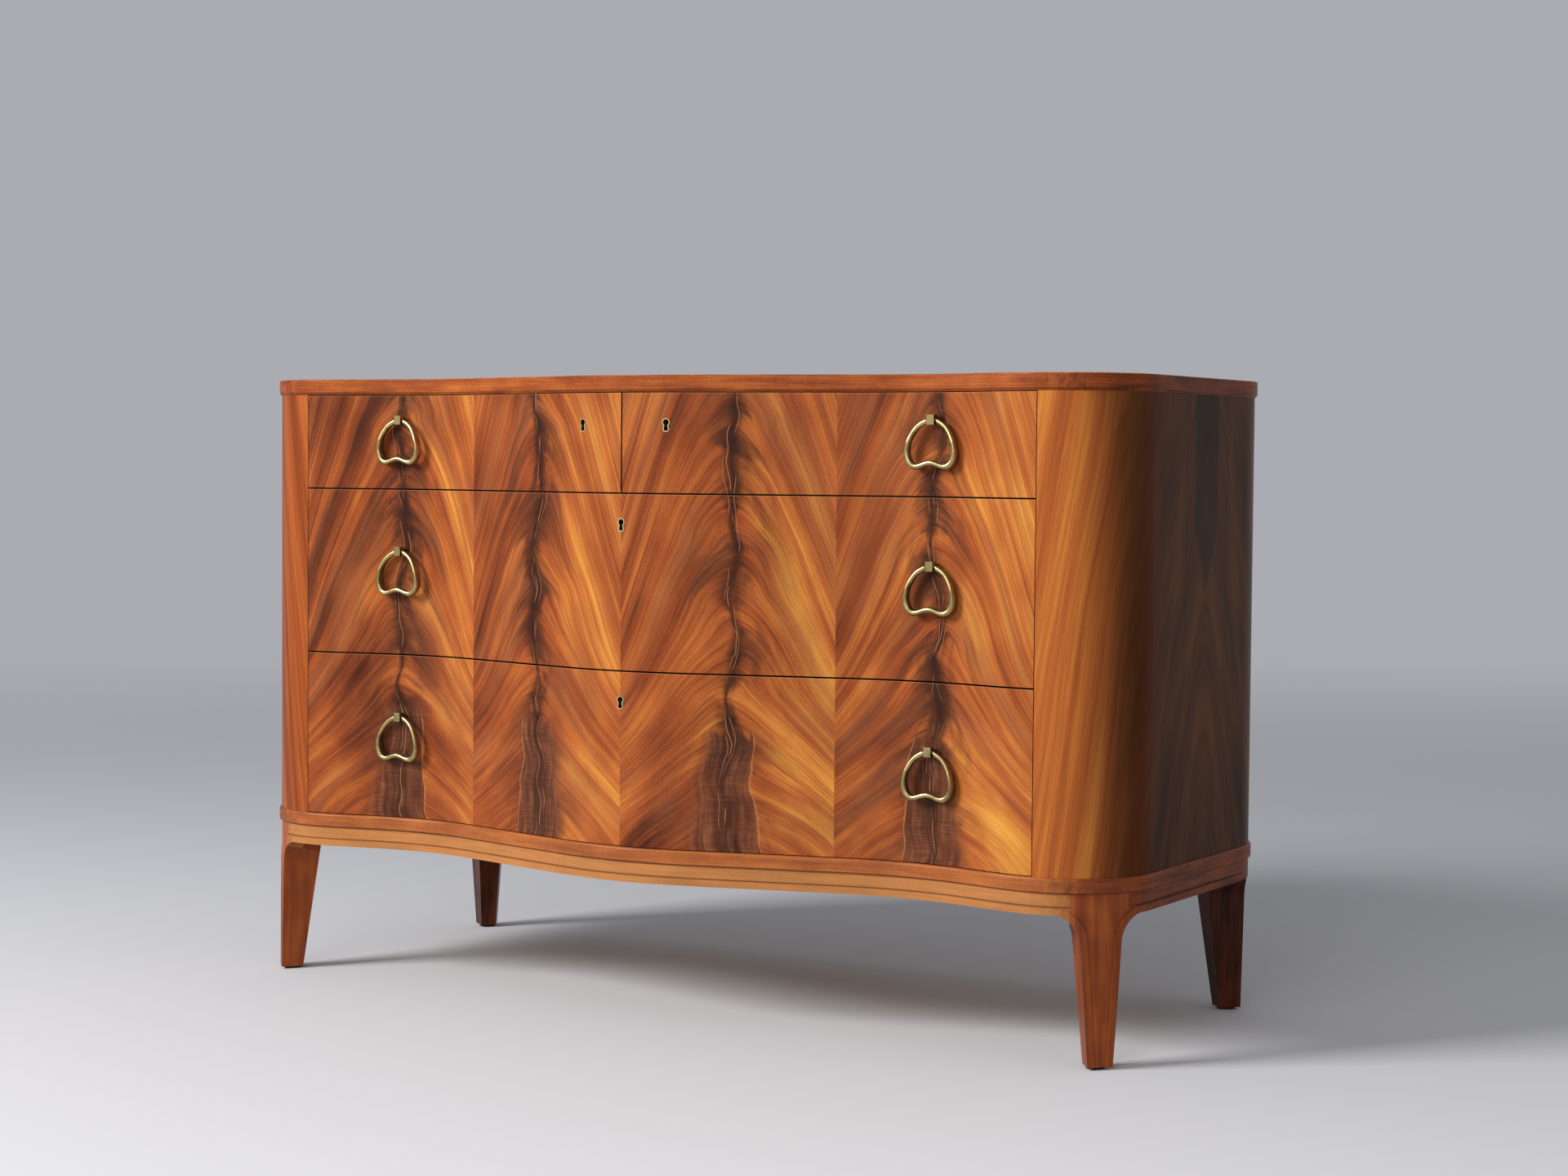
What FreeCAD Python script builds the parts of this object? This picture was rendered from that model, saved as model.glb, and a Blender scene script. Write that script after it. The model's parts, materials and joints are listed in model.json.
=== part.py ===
import FreeCAD, Part
import math
import os
import re
import Sketcher

# A bow-and-hollow fronted chest: two short drawers over two long ones, on a low base
# whose legs are cut from the rounded corners.
# Millimetres. X runs along the front, Y from front to back, Z up from the floor.
# The origin is on the floor, under the middle of the whole chest.

SIZES = {
    # plan of the case
    "case_half_width": 611.8,
    "case_depth": 538.1,
    "corner_radius": 99.5,
    "back_corner_radius": 122.3,
    "bow_radius": 349.7,
    "hollow_radius": 323.6,
    "hollow_centre": 351.4,
    "hollow_depth": 70.7,
    "shoulder_radius": 212.8,
    "shoulder_depth": 47.4,
    # heights from the floor up
    "leg_height": 171.0,
    "apron_height": 24.1,
    "band_height": 16.8,
    "bottom_row_height": 206.9,
    "middle_row_height": 208.6,
    "top_row_height": 118.4,
    "top_thickness": 19.7,
    # case boards
    "top_overhang": 3.0,
    "top_lower_chamfer": 3.2,
    "top_upper_round": 1.6,
    "board_thickness": 18.0,
    "back_thickness": 8.0,
    "back_rebate_width": 11.0,
    "back_opening_half_width": 476.0,
    "partition_half_thickness": 6.0,
    "guide_width": 12.0,
    "guide_height": 14.0,
    "glue_gap": 0.2,
    # drawer openings
    "opening_half_width": 515.0,
    "reveal": 1.0,
    # drawer boxes
    "front_thickness": 21.0,
    "front_to_board_gap": 1.2,
    "drawer_side_inset": 4.0,
    "drawer_side_clearance": 2.0,
    "drawer_side_thickness": 12.0,
    "drawer_back_thickness": 10.0,
    "drawer_back_drop": 8.0,
    "drawer_back_gap": 14.0,
    "drawer_headroom": 4.0,
    "running_gap": 0.4,
    "drawer_bottom_thickness": 5.0,
    "drawer_bottom_rise": 8.0,
    "groove_depth": 6.0,
    "groove_fit": 0.2,
    # base
    "band_projection": 3.0,
    "band_width": 62.0,
    "band_upper_round": 3.0,
    "band_lower_round": 1.5,
    "apron_thickness": 20.0,
    "bead_height": 8.3,
    "bead_projection": 1.8,
    "sweep_radius": 31.5,
    # legs; the angles are measured from straight ahead or straight back
    "leg_middle_angle": 47.0,
    "back_leg_middle_angle": 42.5,
    "leg_face_angle": 10.5,
    "leg_half_width_foot": 14.5,
    "leg_half_width_top": 26.5,
    "leg_depth_foot": 26.5,
    "leg_depth_top": 50.5,
    "leg_block_half_width": 36.8,
    # glides under the feet
    "glide_height": 3.0,
    "glide_radius": 10.5,
    # ring pulls
    "handle_reach": 378.0,
    "top_handle_height": 86.7,
    "middle_handle_height": 130.65,
    "bottom_handle_height": 128.6,
    "handle_standoff": 8.8,
    "block_width": 9.0,
    "block_depth": 9.0,
    "block_height": 11.0,
    "shank_radius": 3.0,
    "shank_clearance": 0.3,
    "nut_radius": 8.0,
    "nut_height": 5.0,
    "nut_gap": 0.9,
    "pin_radius": 1.5,
    "pin_clearance": 0.25,
    "pin_reach": 1.4,
    "ring_half_width": 33.2,
    "ring_drop": 56.3,
    "ring_thickness": 5.4,
    "ring_round": 1.7,
    # locks and keyholes
    "top_lock_reach": 58.6,
    "top_key_drop": 39.05,
    "long_key_drop": 37.5,
    "lock_seat_thickness": 17.0,
    "lock_half_width": 28.0,
    "lock_depth": 14.0,
    "lock_below_key": 20.0,
    "lock_clearance": 0.3,
    "lock_top_gap": 1.5,
    "bolt_half_width": 13.0,
    "bolt_thickness": 4.0,
    "bolt_setback": 8.5,
    "bolt_length": 16.0,
    "bolt_throw": 8.0,
    "bolt_clearance": 0.4,
    "strike_clearance": 1.0,
    "key_pin_radius": 1.1,
    "keyhole_round_radius": 4.8,
    "keyhole_foot_radius": 4.0,
    "keyhole_waist_half_width": 3.3,
    "keyhole_spread": 7.4,
    "escutcheon_wall": 1.2,
    "escutcheon_depth": 4.0,
    "escutcheon_projection": 0.3,
    "escutcheon_fit": 0.1,
    # how far a cutter runs past what it cuts
    "overrun": 10.0,
}

# Outline of a ring pull, right half, as shares of its half width and of its drop
# below the hinge: first the outer edge from the hinge down, then the inner edge.
RING_OUTER_SHARES = (
    (0.16, 0.04), (0.60, -0.10), (0.86, -0.28), (0.97, -0.48), (1.00, -0.63),
    (0.95, -0.77), (0.83, -0.89), (0.68, -0.965), (0.50, -0.985), (0.25, -0.95),
    (0.00, -0.915),
)
RING_INNER_SHARES = (
    (0.16, -0.06), (0.50, -0.165), (0.74, -0.33), (0.85, -0.52), (0.865, -0.65),
    (0.80, -0.78), (0.66, -0.85), (0.50, -0.86), (0.25, -0.825), (0.00, -0.80),
)

# Places along the three directions, written in the sizes above.
FRONT = "-case_depth / 2"
APRON_TOP = "(leg_height + apron_height)"
CASE_FLOOR = "(leg_height + apron_height + band_height)"
LOWER_GAP = f"({CASE_FLOOR} + bottom_row_height)"
UPPER_GAP = f"({LOWER_GAP} + middle_row_height)"
CASE_TOP = f"({UPPER_GAP} + top_row_height)"
CORNER_DEPTH = "(shoulder_depth + corner_radius)"
BACK_CORNER_DEPTH = "(case_depth - back_corner_radius)"
INNER_BACK = "(case_depth - back_thickness - glue_gap)"
DRAWER_BACK = "(case_depth - front_thickness - front_to_board_gap - drawer_back_gap)"
HOLLOW_AT_HANDLE = ("(hollow_depth - hollow_radius"
                    " + sqrt(hollow_radius ^ 2 - (handle_reach - hollow_centre) ^ 2))")
HINGE_DEPTH = f"({HOLLOW_AT_HANDLE} - handle_standoff)"

doc = FreeCAD.newDocument("ChestOfDrawers")
sheet = doc.addObject("Spreadsheet::Sheet", "Sizes")
nodes = []


def fill_sheet():
    """Write each size in its own row, with its name as the cell's alias."""
    for row, (name, amount) in enumerate(SIZES.items(), start=1):
        sheet.set(f"A{row}", name)
        sheet.set(f"B{row}", str(amount))
        sheet.setAlias(f"B{row}", name)
    doc.recompute()


def size(name):
    """Read one size; a leading minus turns it round."""
    if name.startswith("-"):
        return -float(sheet.get(name[1:]))
    return float(sheet.get(name))


def linked(text):
    """Turn the size names in an expression into references to the sheet."""
    return re.sub(r"[a-z_]+", lambda word: f"Sizes.{word.group()}" if word.group() in SIZES
                  else word.group(), text)


def bind(item, prop, text):
    item.setExpression(prop, linked(text))


def node(name, item):
    """Name a finished sub-part after the piece that it is."""
    item.Label = name
    nodes.append(item)
    return item


# Part primitives and booleans. Depths are measured from the frontmost point of the case.

def box(name, across, depth, height):
    made = doc.addObject("Part::Box", name)
    spans = (("Length", "x", across, ""), ("Width", "y", depth, f"{FRONT} + "),
             ("Height", "z", height, ""))
    for prop, axis, (low, high), shift in spans:
        bind(made, prop, f"({high}) - ({low})")
        bind(made, f"Placement.Base.{axis}", f"{shift}({low})")
    return made


def cylinder(name, radius, length, direction, place):
    """A cylinder that starts at place (across, depth, height) and runs along direction."""
    made = doc.addObject("Part::Cylinder", name)
    turn = FreeCAD.Rotation(FreeCAD.Vector(0, 0, 1), FreeCAD.Vector(*direction))
    made.Placement = FreeCAD.Placement(FreeCAD.Vector(), turn)
    bind(made, "Radius", radius)
    bind(made, "Height", length)
    across, depth, height = place
    bind(made, "Placement.Base.x", across)
    bind(made, "Placement.Base.y", f"{FRONT} + {depth}")
    bind(made, "Placement.Base.z", height)
    return made


def cut(name, base, *tools):
    made = doc.addObject("Part::Cut", name)
    made.Base = base
    made.Tool = tools[0] if len(tools) == 1 else fuse(f"{name}_tools", *tools)
    return made


def fuse(name, *pieces):
    made = doc.addObject("Part::MultiFuse", name)
    made.Shapes = list(pieces)
    made.Refine = True
    return made


def common(name, *pieces):
    made = doc.addObject("Part::MultiCommon", name)
    made.Shapes = list(pieces)
    return made


def group(name, *pieces):
    """Separate solids that share one node."""
    made = doc.addObject("Part::Compound", name)
    made.Links = list(pieces)
    return made


def mirrored(name, source):
    """The left-hand twin of a right-hand piece."""
    made = doc.addObject("Part::Mirroring", name)
    made.Source = source
    made.Normal = FreeCAD.Vector(1, 0, 0)
    made.Base = FreeCAD.Vector(0, 0, 0)
    return made


# Sketches. An edge is ("line", start, end) or
# ("arc", start, end, centre, radius expression).

def draw_edge(sketch, edge):
    start, end = edge[1], edge[2]
    if edge[0] == "line":
        return sketch.addGeometry(Part.LineSegment(start, end), False)
    centre, radius_text = edge[3], edge[4]
    circle = Part.Circle(centre, FreeCAD.Vector(0, 0, 1), start.distanceToPoint(centre))
    first = math.atan2(start.y - centre.y, start.x - centre.x)
    last = math.atan2(end.y - centre.y, end.x - centre.x)
    if (last - first) % (2 * math.pi) > math.pi:
        first, last = last, first
    index = sketch.addGeometry(Part.ArcOfCircle(circle, first, last), False)
    constraint = sketch.addConstraint(Sketcher.Constraint("Radius", index, circle.Radius))
    sketch.setExpression(f"Constraints[{constraint}]", linked(radius_text))
    return index


def nearest_ends(sketch, first, second):
    """The ends, 1 or 2, at which two drawn edges meet."""
    pairs = [(a, b) for a in (1, 2) for b in (1, 2)]
    return min(pairs, key=lambda pair: sketch.getPoint(first, pair[0]).distanceToPoint(
        sketch.getPoint(second, pair[1])))


def draw_loop(sketch, edges):
    """Draw a closed loop and hold its neighbouring ends together."""
    drawn = [draw_edge(sketch, edge) for edge in edges]
    for first, second in zip(drawn, drawn[1:] + drawn[:1]):
        end, start = nearest_ends(sketch, first, second)
        sketch.addConstraint(Sketcher.Constraint("Coincident", first, end, second, start))


def new_sketch(body, role):
    sketch = body.newObject("Sketcher::SketchObject", f"{body.Name}_sketch")
    plane = [item for item in body.Origin.OriginFeatures if item.Role == role][0]
    sketch.AttachmentSupport = [(plane, "")]
    sketch.MapMode = "FlatFace"
    return sketch


def pad(body, sketch, length, side="One side"):
    made = body.newObject("PartDesign::Pad", f"{body.Name}_pad")
    made.Profile = sketch
    made.SideType = side
    bind(made, "Length", length)
    body.Tip = made
    return made


# The plan of the case: a bow between two hollows, shoulders and round corners.

def tangent_slope(first_centre, first_radius, second_centre, second_radius, hand):
    """Slope of the line that crosses between two circles and touches both."""
    step = second_centre - first_centre
    lean = math.asin((first_radius + second_radius) / step.Length)
    return math.atan2(step.y, step.x) + hand * lean


def right_plan(inset, inset_text):
    """Edges of the right half of the plan, set back by inset, from the middle to the back."""
    corner_x = size("case_half_width") - size("corner_radius")
    back_corner = FreeCAD.Vector(size("case_half_width") - size("back_corner_radius"),
                                 size("case_depth") - size("back_corner_radius"), 0)
    bow = FreeCAD.Vector(0, size("bow_radius"), 0)
    hollow = FreeCAD.Vector(size("hollow_centre"), size("hollow_depth") - size("hollow_radius"), 0)
    shoulder = FreeCAD.Vector(corner_x, size("shoulder_depth") + size("shoulder_radius"), 0)
    corner = FreeCAD.Vector(corner_x, size("shoulder_depth") + size("corner_radius"), 0)
    fall = tangent_slope(bow, size("bow_radius"), hollow, size("hollow_radius"), 1)
    rise = tangent_slope(hollow, size("hollow_radius"), shoulder, size("shoulder_radius"), -1)

    def on_round(centre, radius, slope):
        return centre + FreeCAD.Vector(radius * math.sin(slope), -radius * math.cos(slope), 0)

    bow_radius = size("bow_radius") - inset
    hollow_radius = -size("hollow_radius") - inset
    shoulder_radius = size("shoulder_radius") - inset
    corner_radius = size("corner_radius") - inset
    back_radius = size("back_corner_radius") - inset
    points = [
        on_round(bow, bow_radius, 0), on_round(bow, bow_radius, fall),
        on_round(hollow, hollow_radius, fall), on_round(hollow, hollow_radius, rise),
        on_round(shoulder, shoulder_radius, rise), on_round(shoulder, shoulder_radius, 0),
        on_round(corner, corner_radius, math.pi / 2),
        on_round(back_corner, back_radius, math.pi / 2),
        on_round(back_corner, back_radius, math.pi),
    ]
    return [
        ("arc", points[0], points[1], bow, f"bow_radius - ({inset_text})"),
        ("line", points[1], points[2]),
        ("arc", points[2], points[3], hollow, f"hollow_radius + ({inset_text})"),
        ("line", points[3], points[4]),
        ("arc", points[4], points[5], shoulder, f"shoulder_radius - ({inset_text})"),
        ("arc", points[5], points[6], corner, f"corner_radius - ({inset_text})"),
        ("line", points[6], points[7]),
        ("arc", points[7], points[8], back_corner, f"back_corner_radius - ({inset_text})"),
    ]


def flipped(point):
    return FreeCAD.Vector(-point.x, point.y, 0)


def full_plan(inset, inset_text):
    """The closed plan: the left half turned over, the right half and the straight back."""
    right = right_plan(inset, inset_text)
    left = []
    for edge in reversed(right[1:]):
        centre = [flipped(edge[3])] if edge[0] == "arc" else []
        left.append((edge[0], flipped(edge[2]), flipped(edge[1]), *centre, *edge[4:]))
    bow = right[0]
    middle = ("arc", flipped(bow[2]), bow[2], bow[3], bow[4])
    back = ("line", right[-1][2], left[0][1])
    return left + [middle] + right[1:] + [back]


def plan_slab(name, insets, low, height):
    """A slab in the shape of the plan, set back by the named insets, from low up."""
    body = doc.addObject("PartDesign::Body", name)
    sketch = new_sketch(body, "XY_Plane")
    inset = sum(size(part) for part in insets)
    draw_loop(sketch, full_plan(inset, " + ".join(insets) or "0"))
    pad(body, sketch, height)
    bind(body, "Placement.Base.y", FRONT)
    bind(body, "Placement.Base.z", low)
    return body


def soften(body, kind, at_top, amount):
    """Chamfer or Fillet the edges of a slab all round, at its top or its foot."""
    doc.recompute()
    base = body.Tip
    level = base.Shape.BoundBox.ZMax if at_top else base.Shape.BoundBox.ZMin
    picked = []
    for index, edge in enumerate(base.Shape.Edges, start=1):
        flat = edge.BoundBox.ZLength < Part.Precision.confusion() * 100
        at_level = abs(edge.BoundBox.ZMax - level) < Part.Precision.confusion() * 100
        if flat and at_level:
            picked.append(f"Edge{index}")
    made = body.newObject(f"PartDesign::{kind}", f"{body.Name}_{kind.lower()}")
    made.Base = (base, picked)
    bind(made, "Size" if kind == "Chamfer" else "Radius", amount)
    body.Tip = made
    doc.recompute()


# Columns: the plan at different set-backs, used to cut boards to the curve.

def make_columns():
    """Full-height slabs of the plan; their differences are curved boards."""
    rise = f"{CASE_TOP} + overrun"
    plans = {
        "line": (),
        "side_inside": ("front_thickness", "front_to_board_gap", "-glue_gap"),
        "front_inside": ("front_thickness",),
        "drawer_space": ("front_thickness", "glue_gap"),
        "groove_space": ("front_thickness", "-groove_depth"),
        "panel_space": ("front_thickness", "-groove_depth", "groove_fit"),
        "thread_face": ("-escutcheon_projection",),
        "thread_floor": ("escutcheon_depth",),
        "thread_seat": ("escutcheon_depth", "escutcheon_fit"),
        "band_inside": ("band_width",),
        "apron_inside": ("apron_thickness",),
        "leg_inside": ("leg_depth_top",),
        "bead_face": ("-bead_projection",),
    }
    return {name: plan_slab(f"column_{name}", insets, "0", rise)
            for name, insets in plans.items()}


# Case

def lock_depth_at(reach):
    """Depth of the bow's face at the lock's distance from the middle."""
    return f"(bow_radius - sqrt(bow_radius ^ 2 - ({reach}) ^ 2))"


def strike(name, across, floor):
    """Mortise that a lock's bolt shoots up into, from the underside at floor."""
    seat = f"({lock_depth_at(across)} + lock_seat_thickness + bolt_setback)"
    return box(name,
               (f"{across} - bolt_half_width - strike_clearance",
                f"{across} + bolt_half_width + strike_clearance"),
               (f"{seat} - strike_clearance", f"{seat} + bolt_thickness + strike_clearance"),
               (f"{floor} - glue_gap", f"{floor} + bolt_throw + strike_clearance"))


def make_top():
    slab = plan_slab("top_slab", ("-top_overhang",), CASE_TOP, "top_thickness")
    soften(slab, "Chamfer", False, "top_lower_chamfer")
    soften(slab, "Fillet", True, "top_upper_round")
    strikes = [strike(f"top_strike_{hand}", f"{sign}top_lock_reach", CASE_TOP)
               for hand, sign in (("left", "-"), ("right", ""))]
    node("top_panel", cut("top_with_strikes", slab, *strikes))


def make_sides(columns):
    """Each side panel turns both corners, from the drawer opening round to the back."""
    shell = cut("side_shell", columns["line"], columns["side_inside"])
    reach = box("side_reach", ("opening_half_width", "case_half_width + overrun"),
                ("-overrun", "case_depth + overrun"), (CASE_FLOOR, CASE_TOP))
    back_reach = box("side_back_reach",
                     ("back_opening_half_width", "case_half_width + overrun"),
                     (BACK_CORNER_DEPTH, "case_depth + overrun"), (CASE_FLOOR, CASE_TOP))
    rebate = box("side_rebate", ("0", "back_opening_half_width + back_rebate_width"),
                 ("case_depth - back_thickness", "case_depth + overrun"), (CASE_FLOOR, CASE_TOP))
    span = fuse("side_span", reach, back_reach)
    right = cut("right_side", common("right_side_shell", shell, span), rebate)
    node("right_side_panel", right)
    node("left_side_panel", mirrored("left_side", right))


def make_back():
    node("back_panel", box("back",
                           ("-(back_opening_half_width + back_rebate_width)",
                            "back_opening_half_width + back_rebate_width"),
                           ("case_depth - back_thickness", "case_depth"),
                           (CASE_FLOOR, CASE_TOP)))


def make_board(name, low, strike_at=None):
    """A full-depth board with a guide strip each side of the drawer above it."""
    slab = plan_slab(f"{name}_slab", ("front_thickness", "front_to_board_gap"), low,
                     "board_thickness")
    tail = box(f"{name}_tail", ("-(back_opening_half_width - glue_gap)",
                                "back_opening_half_width - glue_gap"),
               (CORNER_DEPTH, INNER_BACK), (low, f"{low} + board_thickness"))
    inner = "opening_half_width - drawer_side_inset + drawer_side_clearance"
    right = box(f"{name}_guide", (inner, f"{inner} + guide_width"),
                ("shoulder_depth + front_thickness + front_to_board_gap + guide_width",
                 DRAWER_BACK),
                (f"{low} + board_thickness", f"{low} + board_thickness + guide_height"))
    board = fuse(f"{name}_with_guides", slab, tail, right,
                 mirrored(f"{name}_guide_left", right))
    if strike_at:
        board = cut(f"{name}_with_strike", board, strike(f"{name}_strike", "0", strike_at))
    node(name, board)


def make_boards():
    make_board("bottom_board", CASE_FLOOR)
    make_board("lower_dust_board", f"({LOWER_GAP} - board_thickness / 2)",
               f"({LOWER_GAP} - board_thickness / 2)")
    make_board("upper_dust_board", f"({UPPER_GAP} - board_thickness / 2)",
               f"({UPPER_GAP} - board_thickness / 2)")


def make_partition():
    node("centre_partition", box("partition",
                                 ("-partition_half_thickness", "partition_half_thickness"),
                                 ("front_thickness + front_to_board_gap", INNER_BACK),
                                 (f"{UPPER_GAP} + board_thickness / 2", CASE_TOP)))


# Base

class Corner:
    """A rounded corner of the plan on the right, and the leg that is cut from it."""

    def __init__(self, end, radius, middle, depth, outward, span):
        self.end = end
        self.radius = radius
        self.middle = middle
        self.across = f"(case_half_width - {radius})"
        self.depth = depth
        self.outward = outward
        self.span = span

    def place(self, reach):
        """Across and depth of the leg's middle line, at a reach from the corner's axis."""
        return (f"({self.across} + {reach} * sin({self.middle}))",
                f"({self.depth} {self.outward} {reach} * cos({self.middle}))")

    def turned(self, angle):
        """A turn about the corner's axis, reversed at the back."""
        return angle if self.outward == "-" else f"-({angle})"


def make_corners():
    return (Corner("front", "corner_radius", "leg_middle_angle", CORNER_DEPTH, "-",
                   ("-overrun", CORNER_DEPTH)),
            Corner("back", "back_corner_radius", "back_leg_middle_angle", BACK_CORNER_DEPTH,
                   "+", (BACK_CORNER_DEPTH, "case_depth + overrun")))


def arch_profile(corner, grown, hand):
    """Edges of the arch beside a leg, in the plane that faces the leg's edge."""
    extra = size("bead_height") if grown else 0
    shift = size(corner.radius) * math.sin(math.radians(size("leg_face_angle")))
    foot = FreeCAD.Vector(shift - size("leg_half_width_foot"), 0, 0)
    head = FreeCAD.Vector(shift - size("leg_half_width_top"), size("leg_height"), 0)
    along = (head - foot).normalize()
    out = FreeCAD.Vector(along.y, -along.x, 0)
    radius = size("sweep_radius") + extra
    crown = size("leg_height") + extra
    centre_height = size("leg_height") - size("sweep_radius")
    centre_across = foot.x - (size("sweep_radius") + centre_height * out.y) / out.x
    centre = FreeCAD.Vector(centre_across, centre_height, 0)
    touch = centre + out * radius
    base_height = -size("overrun")
    base = touch - along * ((touch.y - base_height) / along.y)
    far = -size(corner.radius) - size("overrun")
    points = [FreeCAD.Vector(far, base_height, 0), base, touch,
              FreeCAD.Vector(centre.x, crown, 0), FreeCAD.Vector(far, crown, 0)]
    points = [FreeCAD.Vector(point.x * hand, point.y, 0) for point in points]
    centre = FreeCAD.Vector(centre.x * hand, centre.y, 0)
    bead = " + bead_height" if grown else ""
    return [("line", points[0], points[1]), ("line", points[1], points[2]),
            ("arc", points[2], points[3], centre, f"sweep_radius{bead}"),
            ("line", points[3], points[4]), ("line", points[4], points[0])]


def corner_body(corner, name, edges, angle, length, role="XZ_Plane"):
    """A prism across a right-hand corner, turned by angle about the corner's axis."""
    body = doc.addObject("PartDesign::Body", f"{corner.end}_{name}")
    sketch = new_sketch(body, role)
    draw_loop(sketch, edges)
    pad(body, sketch, length, "Symmetric")
    body.Placement = FreeCAD.Placement(FreeCAD.Vector(),
                                       FreeCAD.Rotation(FreeCAD.Vector(0, 0, 1), 0))
    bind(body, "Placement.Rotation.Angle", corner.turned(angle))
    bind(body, "Placement.Base.x", corner.across)
    bind(body, "Placement.Base.y", f"{FRONT} + {corner.depth}")
    return body


def make_sweeps(corner, name, grown):
    """The two arches beside one leg, kept to that corner's quarter of the plan."""
    reach = f"2 * ({corner.radius} + overrun)"
    facing = corner_body(corner, f"{name}_facing_sweep", arch_profile(corner, grown, 1),
                         f"{corner.middle} - leg_face_angle", reach)
    side = corner_body(corner, f"{name}_side_sweep", arch_profile(corner, grown, -1),
                       f"{corner.middle} + leg_face_angle", reach)
    quarter = box(f"{name}_{corner.end}_quarter",
                  (corner.across, "case_half_width + overrun"), corner.span,
                  ("-overrun", APRON_TOP))
    return common(f"{name}_{corner.end}_sweeps",
                  fuse(f"{name}_{corner.end}_both", facing, side), quarter)


def make_arch(name, corners, grown):
    """The open space under the aprons, and, grown by a bead's height, the bead's reach."""
    crown = "leg_height + bead_height" if grown else "leg_height"
    height = ("-overrun", crown)
    right = [make_sweeps(corner, name, grown) for corner in corners]
    right.append(box(f"{name}_under_side", (corners[0].across, "case_half_width + overrun"),
                     (CORNER_DEPTH, BACK_CORNER_DEPTH), height))
    middle = [box(f"{name}_under_{corner.end}", (f"-{corner.across}", corner.across),
                  corner.span, height) for corner in corners]
    right = fuse(f"{name}_right", *right)
    return fuse(name, right, mirrored(f"{name}_left", right), *middle)


def make_leg_sector(corner):
    """The wedge of the corner that a leg takes, between its two seams."""
    reach = size(corner.radius) + size("overrun")
    half = reach * size("leg_block_half_width") / size(corner.radius)
    points = [FreeCAD.Vector(0, 0, 0), FreeCAD.Vector(reach, -half, 0),
              FreeCAD.Vector(reach, half, 0)]
    edges = [("line", a, b) for a, b in zip(points, points[1:] + points[:1])]
    return corner_body(corner, "leg_sector", edges, f"{corner.middle} - 90",
                       f"2 * {APRON_TOP}", "XY_Plane")


def make_skirt(columns, corners):
    """Beads and aprons all round, and the blank of the legs."""
    arch = make_arch("arch", corners, False)
    grown = make_arch("bead_arch", corners, True)
    low = box("base_span", ("-case_half_width - overrun", "case_half_width + overrun"),
              ("-overrun", "case_depth + overrun"), ("glide_height", APRON_TOP))
    ring = cut("bead_ring", columns["bead_face"], columns["line"])
    bead = cut("bead", common("bead_band", ring, grown, low), arch)
    apron = cut("apron_blank", common("apron_span", columns["line"], low),
                columns["apron_inside"], arch)
    leg = cut("leg_blank", common("leg_span", columns["line"], low), columns["leg_inside"], arch)
    return fuse("apron_with_bead", apron, bead), fuse("leg_with_bead", leg, bead)


def make_aprons(apron, corners, sectors):
    """The aprons stop at the seams of the legs."""
    height = ("0", APRON_TOP)
    seams = [corner.place(corner.radius) for corner in corners]
    for corner, (across, _), sector in zip(corners, seams, sectors):
        name = f"{corner.end}_apron"
        span = box(f"{name}_span", (f"-{across}", across), corner.span, height)
        node(name, cut(f"{name}_piece", common(f"{name}_blank", apron, span), sector,
                       mirrored(f"{name}_left_sector", sector)))
    span = box("side_apron_span", (corners[0].across, "case_half_width + overrun"),
               (seams[0][1], seams[1][1]), height)
    right = cut("side_apron_piece", common("side_apron_blank", apron, span), *sectors)
    node("right_apron", right)
    node("left_apron", mirrored("left_apron_piece", right))


def leg_taper_profile(corner):
    """Outline of what is sawn off a leg's inner side; x points out of the corner."""
    radius = size(corner.radius)
    foot = radius - size("leg_depth_foot")
    head = radius - size("leg_depth_top")
    low = -size("overrun")
    low_x = foot + (foot - head) * size("overrun") / size("leg_height")
    points = [FreeCAD.Vector(-radius, low, 0), FreeCAD.Vector(low_x, low, 0),
              FreeCAD.Vector(head, size("leg_height"), 0),
              FreeCAD.Vector(-radius, size("leg_height"), 0)]
    return [("line", a, b) for a, b in zip(points, points[1:] + points[:1])]


def make_legs(blank, corners, sectors):
    for corner, sector in zip(corners, sectors):
        taper = corner_body(corner, "leg_taper", leg_taper_profile(corner),
                            f"{corner.middle} - 90", f"2 * {corner.radius}")
        right = cut(f"{corner.end}_leg_piece",
                    common(f"{corner.end}_leg_span", blank, sector), taper)
        node(f"{corner.end}_right_leg", right)
        node(f"{corner.end}_left_leg", mirrored(f"{corner.end}_left_leg_piece", right))


def make_glides(corners):
    """A round pad under each foot."""
    pads = []
    for corner in corners:
        across, depth = corner.place(f"({corner.radius} - leg_depth_foot / 2)")
        right = cylinder(f"{corner.end}_glide", "glide_radius", "glide_height", (0, 0, 1),
                         (across, depth, "0"))
        pads += [right, mirrored(f"{corner.end}_left_glide", right)]
    node("foot_glides", group("glides", *pads))


def make_band(columns):
    """The moulded frame that the case stands on."""
    slab = plan_slab("band_slab", ("-band_projection",), APRON_TOP, "band_height")
    soften(slab, "Fillet", True, "band_upper_round")
    soften(slab, "Fillet", False, "band_lower_round")
    node("base_band", cut("band_piece", slab, columns["band_inside"]))


# Locks, keyholes and handles

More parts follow.
